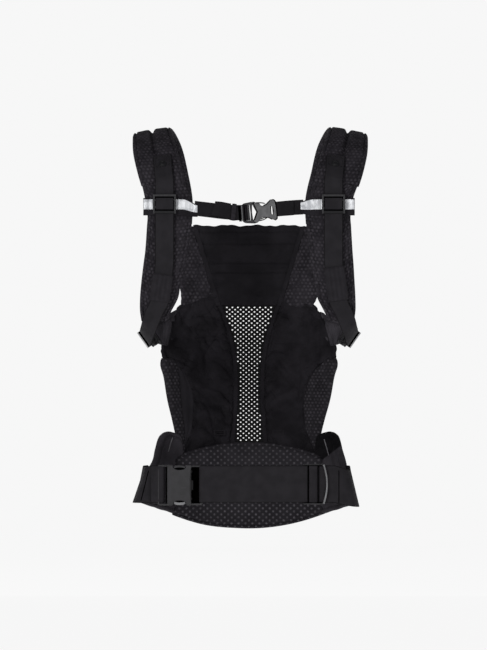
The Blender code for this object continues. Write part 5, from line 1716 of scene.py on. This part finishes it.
def star_buckle(pose):
    """Small chest buckle: an X-shaped grey socket, and a plug whose arms show in its notches."""
    plate = [(-3.9, -11.9, 1.0), (-12.2, -9.7, 1.2), (-13.4, -6.8, 0.8), (-16.0, -5.6, 1.2),
             (-19.2, -6.4, 0.8), (-23.7, -9.5, 2.0), (-27.0, -12.7, 1.0), (-30.6, -13.2, 1.2),
             (-33.2, -10.8, 1.0), (-33.9, 0.3, 2.0), (-33.8, 12.3, 1.0), (-30.8, 14.5, 1.2),
             (-26.3, 12.1, 2.0), (-21.8, 9.7, 1.0), (-18.6, 10.3, 0.8), (-17.1, 8.9, 0.8),
             (-14.4, 8.9, 0.8), (-12.4, 10.5, 0.8), (-9.9, 13.3, 1.2), (-7.0, 15.2, 1.0),
             (-2.7, 14.4, 1.0), (-2.4, 11.4, 0.6), (-7.2, 1.2, 1.0), (-2.8, -9.0, 0.6)]
    crescent = [(-27.6, -4.9), (-29.6, -3.8), (-30.2, 1.3), (-29.2, 7.2), (-26.8, 5.9),
                (-26.9, 0.3)]
    recess = [(-26.9, -9.3, 1.5), (-30.4, -10.4, 1.5), (-30.8, -6.6, 0.8), (-27.2, -6.4, 0.8)]
    low_recess = [(-27.0, 8.6, 0.8), (-30.0, 9.2, 0.8), (-30.6, 12.3, 1.5), (-27.2, 10.9, 1.5)]
    thick = CHEST_SPEC[4]
    parts = [slab("front", rounded(mm(plate), 0.001, 4), (rounded(mm(crescent), 0.0012),),
                  -thick / 2, -thick / 2 + 0.0022, CHEST_GREY, 0.0008),
             slab("back", rounded(mm(plate), 0.001, 4), (rounded(mm(crescent), 0.0012),),
                  thick / 2 - 0.0022, thick / 2, CHEST_GREY, 0.0007)]
    for rows in (recess, low_recess):
        parts.append(slab("boss", rounded(mm(rows), 0.001), (), -thick / 2 - 0.0004,
                          -thick / 2 + 0.0006, CHEST_GREY, 0.0003))
    # Painted shade: a slab of the darker acetal, a little larger than the plate and set between its
    # faces, shows as a dark outline round the X.
    middle = np.array([row[:2] for row in plate]).mean(axis=0)
    grown = [(*(middle + (np.array(row[:2]) - middle) * 1.055), row[2]) for row in plate]
    parts.append(slab("seam", rounded(mm(grown), 0.001, 4), (rounded(mm(crescent), 0.0012),),
                      -thick / 2 + 0.0022, thick / 2 - 0.0022, ACETAL_DARK_AND_SHADE, 0.0004))
    core = [(-8.6, -7.0, 1.5), (-13.6, -4.4, 1.5), (-18.6, -4.4, 1.5), (-25.6, -8.0, 1.5),
            (-26.0, 0.8, 1.5), (-25.6, 9.6, 1.5), (-18.0, 7.0, 1.5), (-14.0, 7.0, 1.5),
            (-8.6, 10.4, 1.5), (-9.0, 1.4, 1.5)]
    parts.append(slab("core", rounded(mm(core), 0.001), (), -thick / 2 + 0.001, thick / 2 - 0.001,
                      ACETAL_DARK_AND_SHADE, 0.0004))
    # Painted shadow: near-black strokes along the V edge, the outer end and the notch lines.
    for line, wide in ((((-3.6, -11.6), (-5.8, -4.8), (-8.0, 1.2), (-5.6, 6.4), (-3.2, 11.6)), 1.5),
                       (((-31.6, -13.0), (-33.6, -10.4), (-34.2, 0.3), (-34.0, 12.0),
                         (-31.0, 14.8)), 1.4),
                       (((-16.8, -6.6), (-20.6, -7.8), (-24.4, -11.0), (-27.4, -13.4)), 1.2),
                       (((-12.2, 11.2), (-17.0, 9.6), (-22.0, 10.2), (-27.0, 13.2)), 1.2),
                       (((-26.4, -4.6), (-26.4, 0.4), (-26.4, 5.4)), 1.0)):
        parts.append(slab("line", mm(stroke(line, wide)), (), -thick / 2 - 0.0003,
                          -thick / 2 + 0.0009, SHADOW, 0.0001))
    bar = [(-31.0, -11.0, 1.0), (-33.6, -10.6, 1.0), (-34.0, 12.0, 1.0), (-31.2, 12.0, 1.0)]
    parts.append(slab("bar", rounded(mm(bar), 0.001), (), -BAR / 2, BAR / 2, ACETAL_DARK_AND_SHADE, 0.0006))
    assemble("chest_buckle_socket", parts, pose, "chest_strap", "chest_socket")

    ring = [(11.6, -10.6, 1.5), (9.0, -12.0, 1.2), (-0.6, -13.0, 1.0), (-4.4, -13.0, 0.8),
            (-6.6, -12.2, 0.6), (-2.0, -9.2, 1.0), (-1.0, 1.1, 2.0), (-1.6, 11.6, 1.0),
            (-6.4, 15.6, 0.8), (-3.6, 16.4, 0.8), (8.6, 14.8, 1.5), (12.4, 12.8, 1.5)]
    eye = [(9.6, -8.8, 0.8), (1.6, -9.8, 0.8), (1.2, 1.0, 1.0), (1.8, 11.6, 0.8), (9.9, 11.6, 0.8)]
    parts = [slab("base", rounded(mm(ring), 0.001), (rounded(mm(eye), 0.0008),), -0.0022, 0.0020,
                  ACETAL, 0.0007)]
    strip = [(13.0, -9.0, 0.4), (11.4, -9.2, 0.4), (11.8, 12.0, 0.4), (13.4, 11.6, 0.4)]
    parts.append(slab("edge", rounded(mm(strip), 0.0004), (), -0.0048, -0.0036, CHEST_GREY, 0.0004))
    # Painted shadow: near-black strips in the gaps beside the plug's edge strip and its band.
    dark = [(17.0, -9.0, 0.4), (13.4, -9.2, 0.4), (13.8, 12.0, 0.4), (17.4, 11.6, 0.4)]
    parts.append(slab("gap", rounded(mm(dark), 0.0004), (), -0.0046, -0.0037, SHADOW, 0.0003))
    slim = [(9.6, -9.0, 0.3), (8.2, -9.0, 0.3), (8.6, 11.8, 0.3), (10.0, 11.8, 0.3)]
    parts.append(slab("gap", rounded(mm(slim), 0.0003), (), -0.0046, -0.0037, SHADOW, 0.0003))
    band = [(8.2, -9.4, 0.4), (2.0, -9.6, 0.4), (2.2, 11.4, 0.4), (8.6, 11.6, 0.4)]
    parts.append(slab("band", rounded(mm(band), 0.0004), (), -0.0012, 0.0010, ACETAL, 0.0003))
    assemble("chest_buckle_plug", parts, pose, "chest_plug_body", "chest_plug")
    arms = {"upper": [(-5.0, -9.0, 1.0), (-7.7, -12.0, 0.8), (-13.0, -11.5, 1.0),
                      (-18.3, -10.4, 1.0), (-20.4, -8.0, 0.8), (-18.4, -8.8, 0.6),
                      (-13.0, -10.0, 1.0), (-8.4, -10.2, 0.8), (-6.0, -7.2, 0.8)],
            "lower": [(-5.0, 11.0, 1.0), (-10.6, 14.0, 1.0), (-16.1, 13.0, 1.0), (-20.4, 11.0, 1.0),
                      (-21.4, 8.6, 0.8), (-19.2, 9.8, 0.8), (-16.0, 11.5, 1.0),
                      (-10.8, 12.2, 0.8), (-6.4, 9.2, 0.8)]}
    for word, rows in arms.items():
        rows = rows if word == "upper" else rows[::-1]
        part = slab("arm", rounded(mm(rows), 0.0006), (), -0.0022, 0.0022, ACETAL, 0.0004)
        assemble(f"chest_buckle_arm_{word}", [part], pose, f"chest_release_{word}_arm",
                 f"chest_release_{word}")


def make_buckles():
    buckle("waist", WAIST_SPEC, Matrix.Translation(Vector(WAIST_MOUTH) + Vector((0, 0, -0.0014))))
    star_buckle(frame_of(CHEST_MOUTH, CHEST_PULL, (0, 1, 0)))
    for side, sign in SIDES:
        pull, _, normal = side_axis()
        mouth = WING_END + pull * SIDE_MOUTH
        flip = (sign, 1, 1)
        buckle(f"side_{side}", SIDE_SPEC, frame_of(mouth * flip, pull * flip, -normal * flip))


# ---------------------------------------------------------------- light and camera
FLOOR = -0.09
EYE, EYE_AWAY = (-0.0074, 0.21375), 20.0    # x and z of the camera, and its distance
VIEW_TALL = 0.8775                          # height of the view at the object


def make_stage():
    """Pale floor under the object, and a glowing wall behind it that only lights it."""
    scene = bpy.context.scene
    scene.view_settings.view_transform = "Standard"
    world = bpy.data.worlds.new("studio")
    world.use_nodes = True
    nodes, links = world.node_tree.nodes, world.node_tree.links
    dim = nodes["Background"]
    dim.inputs[0].default_value = (0.93, 0.92, 0.97, 1)
    dim.inputs[1].default_value = 0.20
    pale = nodes.new("ShaderNodeBackground")
    pale.inputs[0].default_value = (1, 1, 1, 1)
    pale.inputs[1].default_value = 0.93
    either = nodes.new("ShaderNodeMixShader")
    links.new(nodes.new("ShaderNodeLightPath").outputs["Is Camera Ray"], either.inputs[0])
    links.new(dim.outputs[0], either.inputs[1])
    links.new(pale.outputs[0], either.inputs[2])
    links.new(either.outputs[0], nodes["World Output"].inputs[0])
    scene.world = world
    g = Graph("backdrop_paper", 0.9, 0.0)
    g.shader.inputs["Emission Strength"].default_value = 0.92
    g.shader.inputs["Emission Color"].default_value = (1, 1, 1, 1)
    paper = g.finish(g.blend(g.noise(900, 2), (0.018, 0.018, 0.018), (0.022, 0.022, 0.022)))
    profiles = {"floor": ((-9.0, FLOOR), (1.6, FLOOR)),
                "glow_wall": ((1.6, FLOOR), (2.6, 0.0), (3.2, 0.35), (3.5, 1.0), (3.5, 5.0))}
    for name, profile in profiles.items():
        rows = [(x, y, z) for y, z in profile for x in (-6.0, 6.0)]
        faces = [(2 * k, 2 * k + 1, 2 * k + 3, 2 * k + 2) for k in range(len(profile) - 1)]
        sheet = mesh_object(name, rows, faces, paper)
        sheet.visible_camera = name == "floor"
    for name, place, size, power in (("key", (-1.7, -2.9, 1.15), 0.9, 52),
                                     ("fill", (1.9, -2.6, 0.75), 1.4, 14),
                                     ("front", (0.0, -3.4, 0.0), 1.2, 8)):
        lamp = bpy.data.lights.new(name, "AREA")
        lamp.size = size
        lamp.energy = power
        obj = shown(name, lamp)
        obj.location = place
        aim = Vector((0, 0, 0.2)) - Vector(place)
        obj.rotation_euler = aim.to_track_quat("-Z", "Y").to_euler()
    lens = bpy.data.cameras.new("camera")
    lens.sensor_width = 36
    lens.lens = lens.sensor_width * EYE_AWAY / VIEW_TALL
    lens.clip_end = 3 * EYE_AWAY
    camera = shown("camera", lens)
    camera.location = (EYE[0], -EYE_AWAY, EYE[1])
    camera.rotation_euler = (math.pi / 2, 0, 0)
    scene.camera = camera


make_window()
make_panel()
make_waist_pad()
make_waist_wings()
make_waist_webbing()
make_shoulder_straps()
make_side_wings()
make_chest_strap()
make_strap_keepers()
make_waist_adjuster()
make_seat_tabs()
make_buckles()
make_stage()
